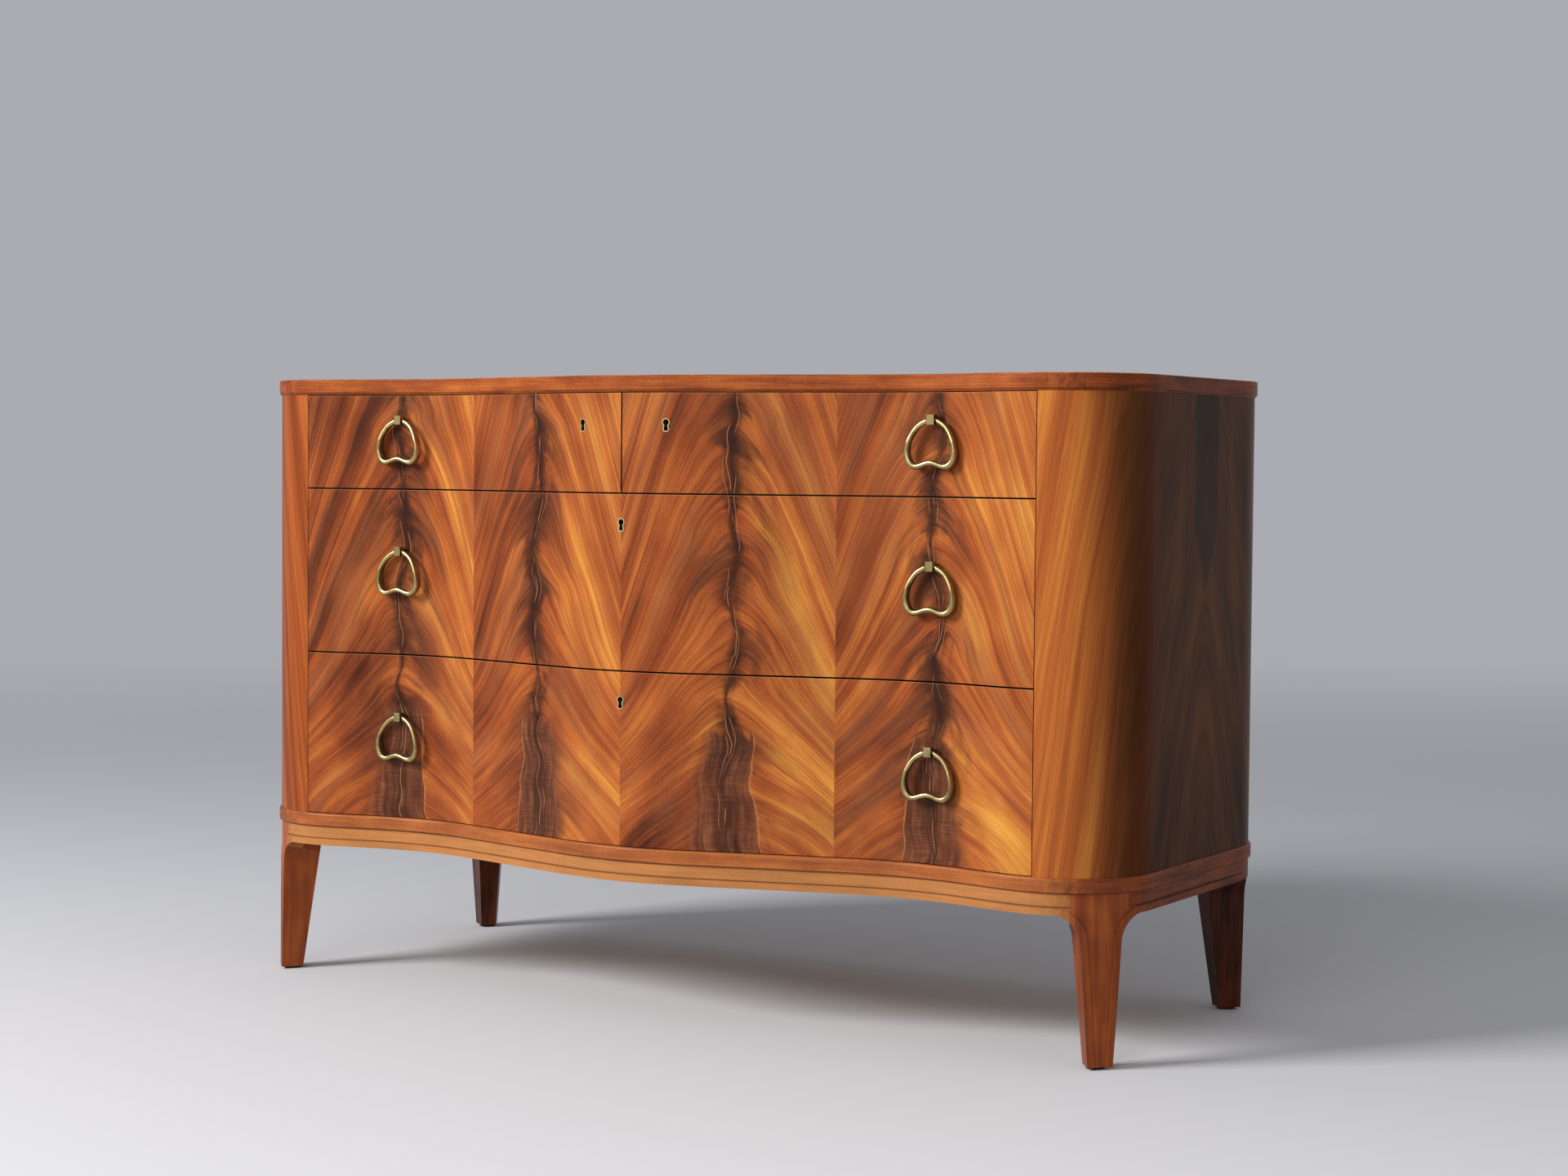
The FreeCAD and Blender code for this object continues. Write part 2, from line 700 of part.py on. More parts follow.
def keyhole(name, across, level, inset, depth):
    """A keyhole-shaped prism through the front: a round over a waist and a smaller round."""
    low, high = depth
    grow = f"- ({inset})"
    round_level = f"({level} + keyhole_spread / 2)"
    foot_level = f"({level} - keyhole_spread / 2)"
    length = f"({high}) - ({low})"
    pieces = [
        cylinder(f"{name}_round", f"keyhole_round_radius {grow}", length, (0, 1, 0),
                 (across, f"({low})", round_level)),
        cylinder(f"{name}_foot", f"keyhole_foot_radius {grow}", length, (0, 1, 0),
                 (across, f"({low})", foot_level)),
        box(f"{name}_waist", (f"{across} - keyhole_waist_half_width + {inset}",
                              f"{across} + keyhole_waist_half_width - ({inset})"),
            depth, (foot_level, round_level)),
    ]
    return fuse(name, *pieces)


class Drawer:
    """Where one drawer is: its span across and up, its box, its lock and its handles."""

    def __init__(self, name, left, right, row_low, row_high, board_top, box_top,
                 box_left, box_right, key_across, key_level, strike_level,
                 handle_reaches, handle_level):
        self.name = name
        self.left = left
        self.right = right
        self.row_low = row_low
        self.row_high = row_high
        self.low = f"({board_top} + running_gap)"
        self.high = f"({box_top} - drawer_headroom)"
        self.box_left = box_left
        self.box_right = box_right
        self.key_across = key_across
        self.key_level = key_level
        self.lock_top = f"({strike_level} - lock_top_gap)"
        self.seat = f"({lock_depth_at(key_across)} + lock_seat_thickness)"
        self.handle_reaches = handle_reaches
        self.handle_level = handle_level

    def panel_low(self):
        return f"({self.low} + drawer_bottom_rise)"


def lock_space(drawer, name, clearance):
    """The block of space that a drawer's lock takes, grown by a clearance."""
    return box(name,
               (f"{drawer.key_across} - lock_half_width - {clearance}",
                f"{drawer.key_across} + lock_half_width + {clearance}"),
               (drawer.seat, f"{drawer.seat} + lock_depth + {clearance}"),
               (f"{drawer.key_level} - lock_below_key - {clearance}",
                f"{drawer.lock_top} + {clearance}"))


def make_drawer_front(drawer, columns):
    name = drawer.name
    span = box(f"{name}_front_span", (f"{drawer.left} + reveal", f"{drawer.right} - reveal"),
               ("-overrun", CORNER_DEPTH),
               (f"{drawer.row_low} + reveal", f"{drawer.row_high} - reveal"))
    blank = cut(f"{name}_front_blank", common(f"{name}_front_slice", columns["line"], span),
                columns["front_inside"])
    groove = common(f"{name}_front_groove", columns["groove_space"],
                    box(f"{name}_groove_span",
                        (f"{drawer.box_left} + drawer_side_thickness - groove_depth",
                         f"{drawer.box_right} - drawer_side_thickness + groove_depth"),
                        ("0", CORNER_DEPTH),
                        (f"{drawer.panel_low()} - groove_fit",
                         f"{drawer.panel_low()} + drawer_bottom_thickness + groove_fit")))
    through = keyhole(f"{name}_key_way", drawer.key_across, drawer.key_level,
                      "escutcheon_wall", ("-overrun", drawer.seat + " + overrun"))
    wide = keyhole(f"{name}_thread_way", drawer.key_across, drawer.key_level,
                   "-escutcheon_fit", ("-overrun", drawer.seat))
    seat = cut(f"{name}_thread_recess", wide, columns["thread_seat"])
    tools = [lock_space(drawer, f"{name}_lock_recess", "lock_clearance"), groove, through, seat]
    for hand, across in enumerate(drawer.handle_reaches, start=1):
        tools.append(cylinder(f"{name}_shank_hole_{hand}", "shank_radius + shank_clearance",
                              "front_thickness * 2 + handle_standoff", (0, 1, 0),
                              (across, HINGE_DEPTH, drawer.handle_level)))
    node(f"{name}_drawer_front", cut(f"{name}_front", blank, *tools))


def make_drawer_side(drawer, hand, columns):
    """A side is cut to the curve of the front and grooved for the bottom."""
    outer = drawer.box_left if hand == "left" else drawer.box_right
    inward = "+" if hand == "left" else "-"
    inner = f"({outer} {inward} drawer_side_thickness)"
    groove_in = f"({inner} {'-' if hand == 'left' else '+'} groove_depth)"
    name = f"{drawer.name}_{hand}"
    across = (outer, inner) if hand == "left" else (inner, outer)
    groove_across = (groove_in, inner) if hand == "left" else (inner, groove_in)
    blank = common(f"{name}_side_blank", columns["drawer_space"],
                   box(f"{name}_side_span", across, ("0", DRAWER_BACK),
                       (drawer.low, drawer.high)))
    groove = box(f"{name}_side_groove", groove_across, ("0", "case_depth"),
                 (f"{drawer.panel_low()} - groove_fit",
                  f"{drawer.panel_low()} + drawer_bottom_thickness + groove_fit"))
    node(f"{drawer.name}_drawer_{hand}_side", cut(f"{name}_side", blank, groove))


def make_drawer_bottom(drawer, columns):
    name = drawer.name
    span = box(f"{name}_bottom_span",
               (f"{drawer.box_left} + drawer_side_thickness - groove_depth + groove_fit",
                f"{drawer.box_right} - drawer_side_thickness + groove_depth - groove_fit"),
               ("0", DRAWER_BACK),
               (drawer.panel_low(), f"{drawer.panel_low()} + drawer_bottom_thickness"))
    node(f"{name}_drawer_bottom", common(f"{name}_bottom", columns["panel_space"], span))


def make_drawer_back(drawer):
    """The back stands on the bottom, between the sides, lower than they are."""
    name = drawer.name
    node(f"{name}_drawer_back",
         box(f"{name}_back",
             (f"{drawer.box_left} + drawer_side_thickness + glue_gap",
              f"{drawer.box_right} - drawer_side_thickness - glue_gap"),
             (f"{DRAWER_BACK} - drawer_back_thickness", DRAWER_BACK),
             (f"{drawer.panel_low()} + drawer_bottom_thickness",
              f"{drawer.high} - drawer_back_drop")))


def make_escutcheon(drawer, columns):
    """A thin brass thread let in round the keyhole."""
    name = drawer.name
    outer = keyhole(f"{name}_thread_outer", drawer.key_across, drawer.key_level,
                    "0", ("-overrun", drawer.seat))
    inner = keyhole(f"{name}_thread_inner", drawer.key_across, drawer.key_level,
                    "escutcheon_wall", ("-overrun * 2", drawer.seat + " + overrun"))
    depth = common(f"{name}_thread_depth", outer, columns["thread_face"])
    node(f"{name}_escutcheon", cut(f"{name}_thread", depth, columns["thread_floor"], inner))


def make_lock(drawer):
    """A box lock on the back of the front, and the bolt that it throws upward."""
    name = drawer.name
    seat = drawer.seat
    case = lock_space(drawer, f"{name}_lock_case", "0")
    bolt_low = f"({drawer.lock_top} - bolt_length)"
    bolt_depth = f"({seat} + bolt_setback)"
    slot = box(f"{name}_bolt_slot",
               (f"{drawer.key_across} - bolt_half_width - bolt_clearance",
                f"{drawer.key_across} + bolt_half_width + bolt_clearance"),
               (f"{bolt_depth} - bolt_clearance", f"{bolt_depth} + bolt_thickness + bolt_clearance"),
               (bolt_low, f"{drawer.lock_top} + overrun"))
    way = keyhole(f"{name}_lock_way", drawer.key_across, drawer.key_level, "escutcheon_wall",
                  (seat + " - overrun", f"{seat} + bolt_setback - bolt_clearance * 2"))
    pin = cylinder(f"{name}_key_pin", "key_pin_radius", "bolt_setback", (0, 1, 0),
                   (drawer.key_across, seat, f"({drawer.key_level} + keyhole_spread / 2)"))
    node(f"{name}_lock", fuse(f"{name}_lock_body", cut(f"{name}_lock_bored", case, slot, way),
                              pin))
    node(f"{name}_lock_bolt",
         box(f"{name}_bolt",
             (f"{drawer.key_across} - bolt_half_width", f"{drawer.key_across} + bolt_half_width"),
             (bolt_depth, f"{bolt_depth} + bolt_thickness"), (bolt_low, drawer.lock_top)))


def make_posts(drawer):
    """Each ring hangs in a square block whose shank passes through the front to a nut."""
    name = drawer.name
    level = drawer.handle_level
    inside = f"({HOLLOW_AT_HANDLE} + front_thickness)"
    pieces = []
    for hand, across in enumerate(drawer.handle_reaches, start=1):
        block = box(f"{name}_block_{hand}",
                    (f"{across} - block_width / 2", f"{across} + block_width / 2"),
                    (f"{HINGE_DEPTH} - block_depth / 2", f"{HINGE_DEPTH} + block_depth / 2"),
                    (f"{level} - block_height / 2", f"{level} + block_height / 2"))
        shank = cylinder(f"{name}_shank_{hand}", "shank_radius",
                         f"{inside} + nut_height * 2 - {HINGE_DEPTH}", (0, 1, 0),
                         (across, HINGE_DEPTH, level))
        bore = cylinder(f"{name}_bore_{hand}", "pin_radius + pin_clearance",
                        "block_width + overrun", (1, 0, 0),
                        (f"{across} - (block_width + overrun) / 2", HINGE_DEPTH, level))
        nut = cylinder(f"{name}_nut_blank_{hand}", "nut_radius", "nut_height", (0, 1, 0),
                       (across, f"({inside} + nut_gap)", level))
        hole = cylinder(f"{name}_nut_hole_{hand}", "shank_radius", "nut_height * 3", (0, 1, 0),
                        (across, f"({inside} - nut_height)", level))
        pieces.append(cut(f"{name}_post_{hand}", fuse(f"{name}_post_blank_{hand}", block, shank),
                          bore))
        pieces.append(cut(f"{name}_nut_{hand}", nut, hole))
    node(f"{name}_handle_posts", group(f"{name}_posts", *pieces))


def ring_side(shares):
    """One edge of a ring pull as a smooth curve, from the right end round to the left."""
    width = size("ring_half_width")
    drop = size("ring_drop")
    right = [FreeCAD.Vector(x * width, z * drop, 0) for x, z in shares]
    left = [FreeCAD.Vector(-point.x, point.y, 0) for point in reversed(right[:-1])]
    curve = Part.BSplineCurve()
    curve.interpolate(right + left)
    return curve, right[0], left[-1]


def make_ring(name, across, level):
    """A cast ring with a pin at each end that turns in the block."""
    body = doc.addObject("PartDesign::Body", f"{name}_casting")
    sketch = new_sketch(body, "XZ_Plane")
    outer, outer_right, outer_left = ring_side(RING_OUTER_SHARES)
    inner, inner_right, inner_left = ring_side(RING_INNER_SHARES)
    sketch.addGeometry(outer, False)
    sketch.addGeometry(inner, False)
    sketch.addGeometry(Part.LineSegment(outer_right, inner_right), False)
    sketch.addGeometry(Part.LineSegment(outer_left, inner_left), False)
    blank = pad(body, sketch, "ring_thickness", "Symmetric")
    doc.recompute()
    long_edges = [f"Edge{index}" for index, edge in enumerate(blank.Shape.Edges, start=1)
                  if edge.Length > size("ring_drop")]
    rounded = body.newObject("PartDesign::Fillet", f"{name}_rounded")
    rounded.Base = (blank, long_edges)
    bind(rounded, "Radius", "ring_round")
    body.Tip = rounded
    bind(body, "Placement.Base.x", across)
    bind(body, "Placement.Base.y", f"{FRONT} + {HINGE_DEPTH}")
    bind(body, "Placement.Base.z", level)
    start = f"ring_half_width * {RING_OUTER_SHARES[0][0]}"
    length = f"({start}) - block_width / 2 + pin_reach"
    pins = []
    for hand, sign, direction in (("right", "+", (-1, 0, 0)), ("left", "-", (1, 0, 0))):
        root = f"{across} {sign} ({start} + pin_reach)"
        pins.append(cylinder(f"{name}_{hand}_pin", "pin_radius", f"{length} + pin_reach",
                             direction, (root, HINGE_DEPTH, level)))
    node(name, fuse(f"{name}_ring", body, *pins))


# Drawers

def long_drawer(name, row_low, row_high, board_top, box_top, handle_height):
    reach = "(opening_half_width - drawer_side_inset)"
    return Drawer(name, "-opening_half_width", "opening_half_width", row_low, row_high,
                  board_top, box_top, f"-{reach}", reach,
                  "0", f"({row_high} - long_key_drop)", box_top,
                  ("-handle_reach", "handle_reach"), f"({row_low} + {handle_height})")


def short_drawer(hand):
    outer = "(opening_half_width - drawer_side_inset)"
    inner = "(partition_half_thickness + drawer_side_clearance)"
    sign = "-" if hand == "left" else ""
    spans = [("0", "opening_half_width"), (inner, outer)]
    if hand == "left":
        spans = [("-opening_half_width", "0"), (f"-{outer}", f"-{inner}")]
    (left, right), (box_left, box_right) = spans
    return Drawer(f"top_{hand}", left, right, UPPER_GAP, CASE_TOP,
                  f"({UPPER_GAP} + board_thickness / 2)", CASE_TOP, box_left, box_right,
                  f"{sign}top_lock_reach", f"({CASE_TOP} - top_key_drop)", CASE_TOP,
                  (f"{sign}handle_reach",), f"({UPPER_GAP} + top_handle_height)")


def all_drawers():
    lower_board = f"({LOWER_GAP} - board_thickness / 2)"
    upper_board = f"({UPPER_GAP} - board_thickness / 2)"
    return [
        short_drawer("left"),
        short_drawer("right"),
        long_drawer("middle", LOWER_GAP, UPPER_GAP, f"({LOWER_GAP} + board_thickness / 2)",
                    upper_board, "middle_handle_height"),
        long_drawer("bottom", CASE_FLOOR, LOWER_GAP, f"({CASE_FLOOR} + board_thickness)",
                    lower_board, "bottom_handle_height"),
    ]


def make_drawers(columns):
    for drawer in all_drawers():
        make_drawer_front(drawer, columns)
        make_drawer_side(drawer, "left", columns)
        make_drawer_side(drawer, "right", columns)
        make_drawer_back(drawer)
        make_drawer_bottom(drawer, columns)
        make_escutcheon(drawer, columns)
        make_lock(drawer)
        make_posts(drawer)
        for across in drawer.handle_reaches:
            hand = "left" if across.startswith("-") else "right"
            single = len(drawer.handle_reaches) == 1
            label = f"{drawer.name}_ring" if single else f"{drawer.name}_{hand}_ring"
            make_ring(label, across, drawer.handle_level)


def check_objects():
    """Stop if any object failed, or if a sub-part's shape is empty or unsound."""
    for item in doc.Objects:
        if "Invalid" in item.State or "Error" in item.State:
            raise RuntimeError(f"{item.Label} failed: {item.State}")
    for item in nodes:
        if item.Shape.isNull() or not item.Shape.isValid() or not item.Shape.Solids:
            raise RuntimeError(f"{item.Label} has no sound shape")


def write_parts():
    os.makedirs("parts", exist_ok=True)
    for item in nodes:
        item.Shape.exportStep(os.path.join("parts", f"{item.Label}.step"))


def main():
    fill_sheet()
    columns = make_columns()
    make_top()
    make_sides(columns)
    make_back()
    make_boards()
    make_partition()
    corners = make_corners()
    sectors = [make_leg_sector(corner) for corner in corners]
    apron, leg_blank = make_skirt(columns, corners)
    make_aprons(apron, corners, sectors)
    make_legs(leg_blank, corners, sectors)
    make_glides(corners)
    make_band(columns)
    make_drawers(columns)
    doc.recompute()
    check_objects()
    write_parts()
    for item in nodes:
        bounds = item.Shape.BoundBox
        print(f"{item.Label}: {len(item.Shape.Solids)} solid(s), {item.Shape.Volume / 1000:.1f} cm3,"
              f" {bounds.XLength:.1f} x {bounds.YLength:.1f} x {bounds.ZLength:.1f}")


main()
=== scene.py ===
"""Looks of a bow-and-hollow fronted chest of drawers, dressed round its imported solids."""
import json
import logging
import math
from dataclasses import dataclass, field, replace
from enum import Enum
from typing import Any, Sequence

import bpy
import numpy as np
from mathutils import Matrix, Vector


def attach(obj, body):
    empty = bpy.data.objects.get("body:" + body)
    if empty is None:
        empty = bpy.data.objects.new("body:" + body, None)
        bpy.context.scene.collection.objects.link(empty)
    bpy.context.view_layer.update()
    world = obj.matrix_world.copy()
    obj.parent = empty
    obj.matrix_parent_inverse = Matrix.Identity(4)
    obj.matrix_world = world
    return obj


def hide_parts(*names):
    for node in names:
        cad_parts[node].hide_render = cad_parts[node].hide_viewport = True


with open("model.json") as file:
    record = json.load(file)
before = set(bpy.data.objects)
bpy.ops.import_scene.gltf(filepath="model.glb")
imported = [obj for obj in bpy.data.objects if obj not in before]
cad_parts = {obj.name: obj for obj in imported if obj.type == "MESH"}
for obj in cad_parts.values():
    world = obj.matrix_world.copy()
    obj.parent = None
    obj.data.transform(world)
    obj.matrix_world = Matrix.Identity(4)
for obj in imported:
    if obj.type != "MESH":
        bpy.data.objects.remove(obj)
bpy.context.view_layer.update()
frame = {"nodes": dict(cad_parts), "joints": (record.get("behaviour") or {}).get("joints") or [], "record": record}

MM = 0.001
PER_METRE = 1000.0
log = logging.getLogger("chest")

Colour = tuple[float, float, float]


class Facing(Enum):
    """Which way a face has to look to carry a finish."""

    FRONT = ("Y", -1.0)
    UP = ("Z", 1.0)


@dataclass(frozen=True)
class Gloss:
    """How a surface shines.

    Attributes:
        roughness: Roughness of the surface.
        coat: Weight of a clear coat.
        coat_roughness: Roughness of that coat.
        metallic: 1 for bare metal.
        specular: Level of the surface's own gloss.
    """

    roughness: float = 0.5
    coat: float = 0.0
    coat_roughness: float = 0.1
    metallic: float = 0.0
    specular: float = 0.5


FRONT_POLISH = Gloss(0.34, coat=0.03, coat_roughness=0.07, specular=0.07)
SIDE_POLISH = Gloss(0.32, coat=0.02, coat_roughness=0.07, specular=0.04)
BASE_POLISH = Gloss(0.38, coat=0.03, coat_roughness=0.10, specular=0.11)
BARE_WOOD = Gloss(0.62, specular=0.3)
BARE_METAL = Gloss(metallic=1.0)
PRESSED_FELT = Gloss(0.95, specular=0.1)
MATT_FLOOR = Gloss(0.9, specular=0.0)


class Wire:
    """A number that flows through a shader, on which sums can be written."""

    def __init__(self, graph: "Graph", socket: Any) -> None:
        """Holds the socket that gives the number."""
        self.graph = graph
        self.socket = socket

    def __add__(self, other: "Wire | float") -> "Wire":
        """Sum."""
        return self.graph.sum("ADD", self, other)

    __radd__ = __add__

    def __sub__(self, other: "Wire | float") -> "Wire":
        """Difference."""
        return self.graph.sum("SUBTRACT", self, other)

    def __rsub__(self, other: float) -> "Wire":
        """Difference from a plain number."""
        return self.graph.sum("SUBTRACT", other, self)

    def __mul__(self, other: "Wire | float") -> "Wire":
        """Product."""
        return self.graph.sum("MULTIPLY", self, other)

    __rmul__ = __mul__

    def __truediv__(self, other: "Wire | float") -> "Wire":
        """Quotient."""
        return self.graph.sum("DIVIDE", self, other)

    def __abs__(self) -> "Wire":
        """Size without its sign."""
        return self.graph.sum("ABSOLUTE", self)

    def __pow__(self, other: float) -> "Wire":
        """Power."""
        return self.graph.sum("POWER", self, other)

    def least(self, other: "Wire | float") -> "Wire":
        """The smaller of two."""
        return self.graph.sum("MINIMUM", self, other)

    def most(self, other: "Wire | float") -> "Wire":
        """The larger of two."""
        return self.graph.sum("MAXIMUM", self, other)

    def sign(self) -> "Wire":
        """-1, 0 or 1."""
        return self.graph.sum("SIGN", self)

    def root(self) -> "Wire":
        """Square root."""
        return self.graph.sum("SQRT", self)

    def bell(self, width: "Wire | float") -> "Wire":
        """1 at zero, falling to nothing a few widths away: exp of minus the square."""
        scaled = self / width
        return self.graph.sum("EXPONENT", scaled * scaled * -1.0)

    def fade(self, length: "Wire | float") -> "Wire":
        """1 at zero, falling as exp of minus the size over a length."""
        return self.graph.sum("EXPONENT", abs(self) / length * -1.0)

    def step(self, low: float, high: float) -> "Wire":
        """A smooth climb from 0 at low to 1 at high."""
        return self.graph.map_range(self, low, high)

    def swing(self, share: float) -> "Wire":
        """A noise turned to swing round zero, times a share."""
        return (self - 0.5) * share

    def over(self, level: float, width: float) -> "Wire":
        """A smooth climb from 0 at a level to 1 a width above it."""
        return (self - level).step(0.0, width)


class Graph:
    """Shader nodes of one material, written as formulas."""

    def __init__(self, name: str) -> None:
        """Makes an empty material that ends in one Principled shader.

        Args:
            name: The material's name.
        """
        self.material = bpy.data.materials.new(name)
        self.material.use_nodes = True
        self.tree = self.material.node_tree
        self.tree.nodes.clear()
        self.shader = self.tree.nodes.new("ShaderNodeBsdfPrincipled")
        output = self.tree.nodes.new("ShaderNodeOutputMaterial")
        self.tree.links.new(self.shader.outputs["BSDF"], output.inputs["Surface"])
        self.place = self.tree.nodes.new("ShaderNodeTexCoord")

    def feed(self, socket: Any, value: Any) -> None:
        """Links or sets one input socket.

        Args:
            socket: The input.
            value: A Wire, a socket, a colour or a number.
        """
        if isinstance(value, Wire):
            self.tree.links.new(value.socket, socket)
        elif isinstance(value, bpy.types.NodeSocket):
            self.tree.links.new(value, socket)
        elif isinstance(value, tuple):
            socket.default_value = (*value, 1.0) if len(socket.default_value) == 4 else value
        else:
            socket.default_value = value

    def sum(self, operation: str, first: Any, second: Any = None) -> Wire:
        """One Math node.

        Args:
            operation: The node's operation.
            first: Its first number.
            second: Its second number, where it has one.

        Returns:
            The result.
        """
        node = self.tree.nodes.new("ShaderNodeMath")
        node.operation = operation
        self.feed(node.inputs[0], first)
        if second is not None:
            self.feed(node.inputs[1], second)
        return Wire(self, node.outputs[0])

    def map_range(self, value: Wire, low: float, high: float) -> Wire:
        """Smooth step from 0 at low to 1 at high.

        Args:
            value: The number to place.
            low: Where the step gives 0; above high, the step falls.
            high: Where it gives 1.

        Returns:
            The step.
        """
        node = self.tree.nodes.new("ShaderNodeMapRange")
        node.interpolation_type = "SMOOTHSTEP"
        flip = low > high
        self.feed(node.inputs["Value"], value)
        self.feed(node.inputs["From Min"], high if flip else low)
        self.feed(node.inputs["From Max"], low if flip else high)
        node.inputs["To Min"].default_value = 1.0 if flip else 0.0
        node.inputs["To Max"].default_value = 0.0 if flip else 1.0
        return Wire(self, node.outputs["Result"])

    def position(self) -> tuple[Wire, Wire, Wire]:
        """Object coordinates.

        Returns:
            Across, depth and height in millimetres.
        """
        split = self.tree.nodes.new("ShaderNodeSeparateXYZ")
        self.tree.links.new(self.place.outputs["Object"], split.inputs[0])
        return tuple(Wire(self, split.outputs[axis]) * PER_METRE for axis in range(3))

    def facing(self, way: Facing) -> Wire:
        """Picks out the faces that look one way.

        Args:
            way: Where they look.

        Returns:
            1 on those faces, 0 on the others.
        """
        split = self.tree.nodes.new("ShaderNodeSeparateXYZ")
        self.tree.links.new(self.place.outputs["Normal"], split.inputs[0])
        axis, sign = way.value
        return (Wire(self, split.outputs[axis]) * sign).step(0.45, 0.55)

    def noise(self, at: Sequence["Wire | float"], detail: float = 2.0, rough: float = 0.5,
              warp: float = 0.0) -> Wire:
        """Smooth noise between 0 and 1.

        Args:
            at: Three coordinates, already divided by the size of the blobs.
            detail: How many finer layers are added.
            rough: How strong the finer layers are.
            warp: How far the pattern is bent by itself.

        Returns:
            The noise.
        """
        joined = self.tree.nodes.new("ShaderNodeCombineXYZ")
        for socket, value in zip(joined.inputs, at):
            self.feed(socket, value)
        node = self.tree.nodes.new("ShaderNodeTexNoise")
        node.inputs["Scale"].default_value = 1.0
        node.inputs["Detail"].default_value = detail
        node.inputs["Roughness"].default_value = rough
        node.inputs["Distortion"].default_value = warp
        self.tree.links.new(joined.outputs[0], node.inputs["Vector"])
        return Wire(self, node.outputs["Fac"])

    def ramp(self, value: Wire, stops: Sequence[tuple[float, Colour]]) -> Any:
        """Colours along a scale.

        Args:
            value: Where on the scale.
            stops: Places from 0 to 1 and their colours.

        Returns:
            The colour's socket.
        """
        node = self.tree.nodes.new("ShaderNodeValToRGB")
        elements = node.color_ramp.elements
        while len(elements) < len(stops):
            elements.new(0.5)
        for element, (place, colour) in zip(elements, stops):
            element.position = place
            element.color = (*colour, 1.0)
        self.feed(node.inputs[0], value)
        return node.outputs[0]

    def blend(self, share: Any, first: Any, second: Any) -> Any:
        """Second colour over the first by a share.

        Args:
            share: 0 keeps the first, 1 gives the second.
            first: A colour or socket.
            second: A colour or socket.

        Returns:
            The colour's socket.
        """
        node = self.tree.nodes.new("ShaderNodeMix")
        node.data_type = "RGBA"
        node.clamp_factor = True
        self.feed(node.inputs["Factor"], share)
        self.feed(node.inputs[6], first)
        self.feed(node.inputs[7], second)
        return node.outputs[2]

    def polish(self, colour: Any, gloss: Gloss, roughness: Wire | None = None) -> None:
        """Sets the shader's colour and gloss.

        Args:
            colour: Base colour.
            gloss: How it shines.
            roughness: Roughness that varies over the surface, in place of the gloss's own.
        """
        self.feed(self.shader.inputs["Base Color"], colour)
        self.feed(self.shader.inputs["Roughness"],
                  gloss.roughness if roughness is None else roughness)
        for socket, value in (("Coat Weight", gloss.coat),
                              ("Coat Roughness", gloss.coat_roughness),
                              ("Metallic", gloss.metallic),
                              ("Specular IOR Level", gloss.specular)):
            self.shader.inputs[socket].default_value = value

    def bump(self, height: Wire, depth: float) -> None:
        """Raises the surface by a height field.

        Args:
            height: The field.
            depth: Millimetres for a height of 1.
        """
        node = self.tree.nodes.new("ShaderNodeBump")
        node.inputs["Strength"].default_value = 1.0
        node.inputs["Distance"].default_value = depth * MM
        self.tree.links.new(height.socket, node.inputs["Height"])
        self.tree.links.new(node.outputs[0], self.shader.inputs["Normal"])


@dataclass(frozen=True)
class Plan:
    """Sizes of the chest's plan that patterns follow, in millimetres."""

    corner_across: float = 512.3
    corner_depth: float = -122.15
    corner_radius: float = 99.5
    back_across: float = 489.5
    back_depth: float = 146.75
    back_radius: float = 122.3
    side_seam: float = 26.0

    def along_side(self, graph: Graph, x: Wire, y: Wire) -> Wire:
        """Length along the side's surface from its middle seam, towards the back positive.

        Args:
            graph: Where the sum is made.
            x: Across.
            y: Depth.

        Returns:
            The length, which unrolls both rounded corners.
        """
        flat = y.most(self.corner_depth).least(self.back_depth) - self.side_seam
        ahead = graph.sum("ARCTAN2", (self.corner_depth - y).most(0.0),
                          (abs(x) - self.corner_across).most(0.001))
        behind = graph.sum("ARCTAN2", (y - self.back_depth).most(0.0),
                           (abs(x) - self.back_across).most(0.001))
        return flat - ahead * self.corner_radius + behind * self.back_radius

    def turn(self, graph: Graph, x: Wire, y: Wire) -> Wire:
        """Length along the edge of the plan, near enough for a grain that runs round it."""
        on_side = (abs(x) - self.corner_across).step(10.0, 60.0)
        return self.along_side(graph, x, y) * on_side + x * (1.0 - on_side)


PLAN = Plan()
GRAIN = ((0.00, (0.022, 0.006, 0.003)), (0.20, (0.105, 0.023, 0.008)),
         (0.38, (0.24, 0.053, 0.013)), (0.55, (0.37, 0.102, 0.022)),
         (0.75, (0.53, 0.215, 0.036)), (1.00, (0.72, 0.40, 0.075)))
# Side veneer colours with painted shade: the same wood as GRAIN, made darker for the shade that falls on the
# sides.
SHADED = ((0.00, (0.020, 0.008, 0.003)), (0.30, (0.052, 0.020, 0.007)),
          (0.55, (0.092, 0.034, 0.010)), (0.80, (0.155, 0.056, 0.016)),
          (1.00, (0.24, 0.090, 0.026)))
# Near-black brown for the drawer fronts' edges and backs: their dark stain, deepened with painted shade so that
# the gaps between the drawers read black.
FRONT_EDGE_STAIN_AND_SHADE = ((0.3, (0.034, 0.012, 0.006)), (0.7, (0.070, 0.026, 0.011)))
DARK_FOOT = ((0.30, (0.034, 0.011, 0.006)), (0.50, (0.098, 0.031, 0.015)),
             (0.72, (0.21, 0.075, 0.031)))
FELT = ((0.3, (0.012, 0.010, 0.009)), (0.7, (0.040, 0.034, 0.030)))


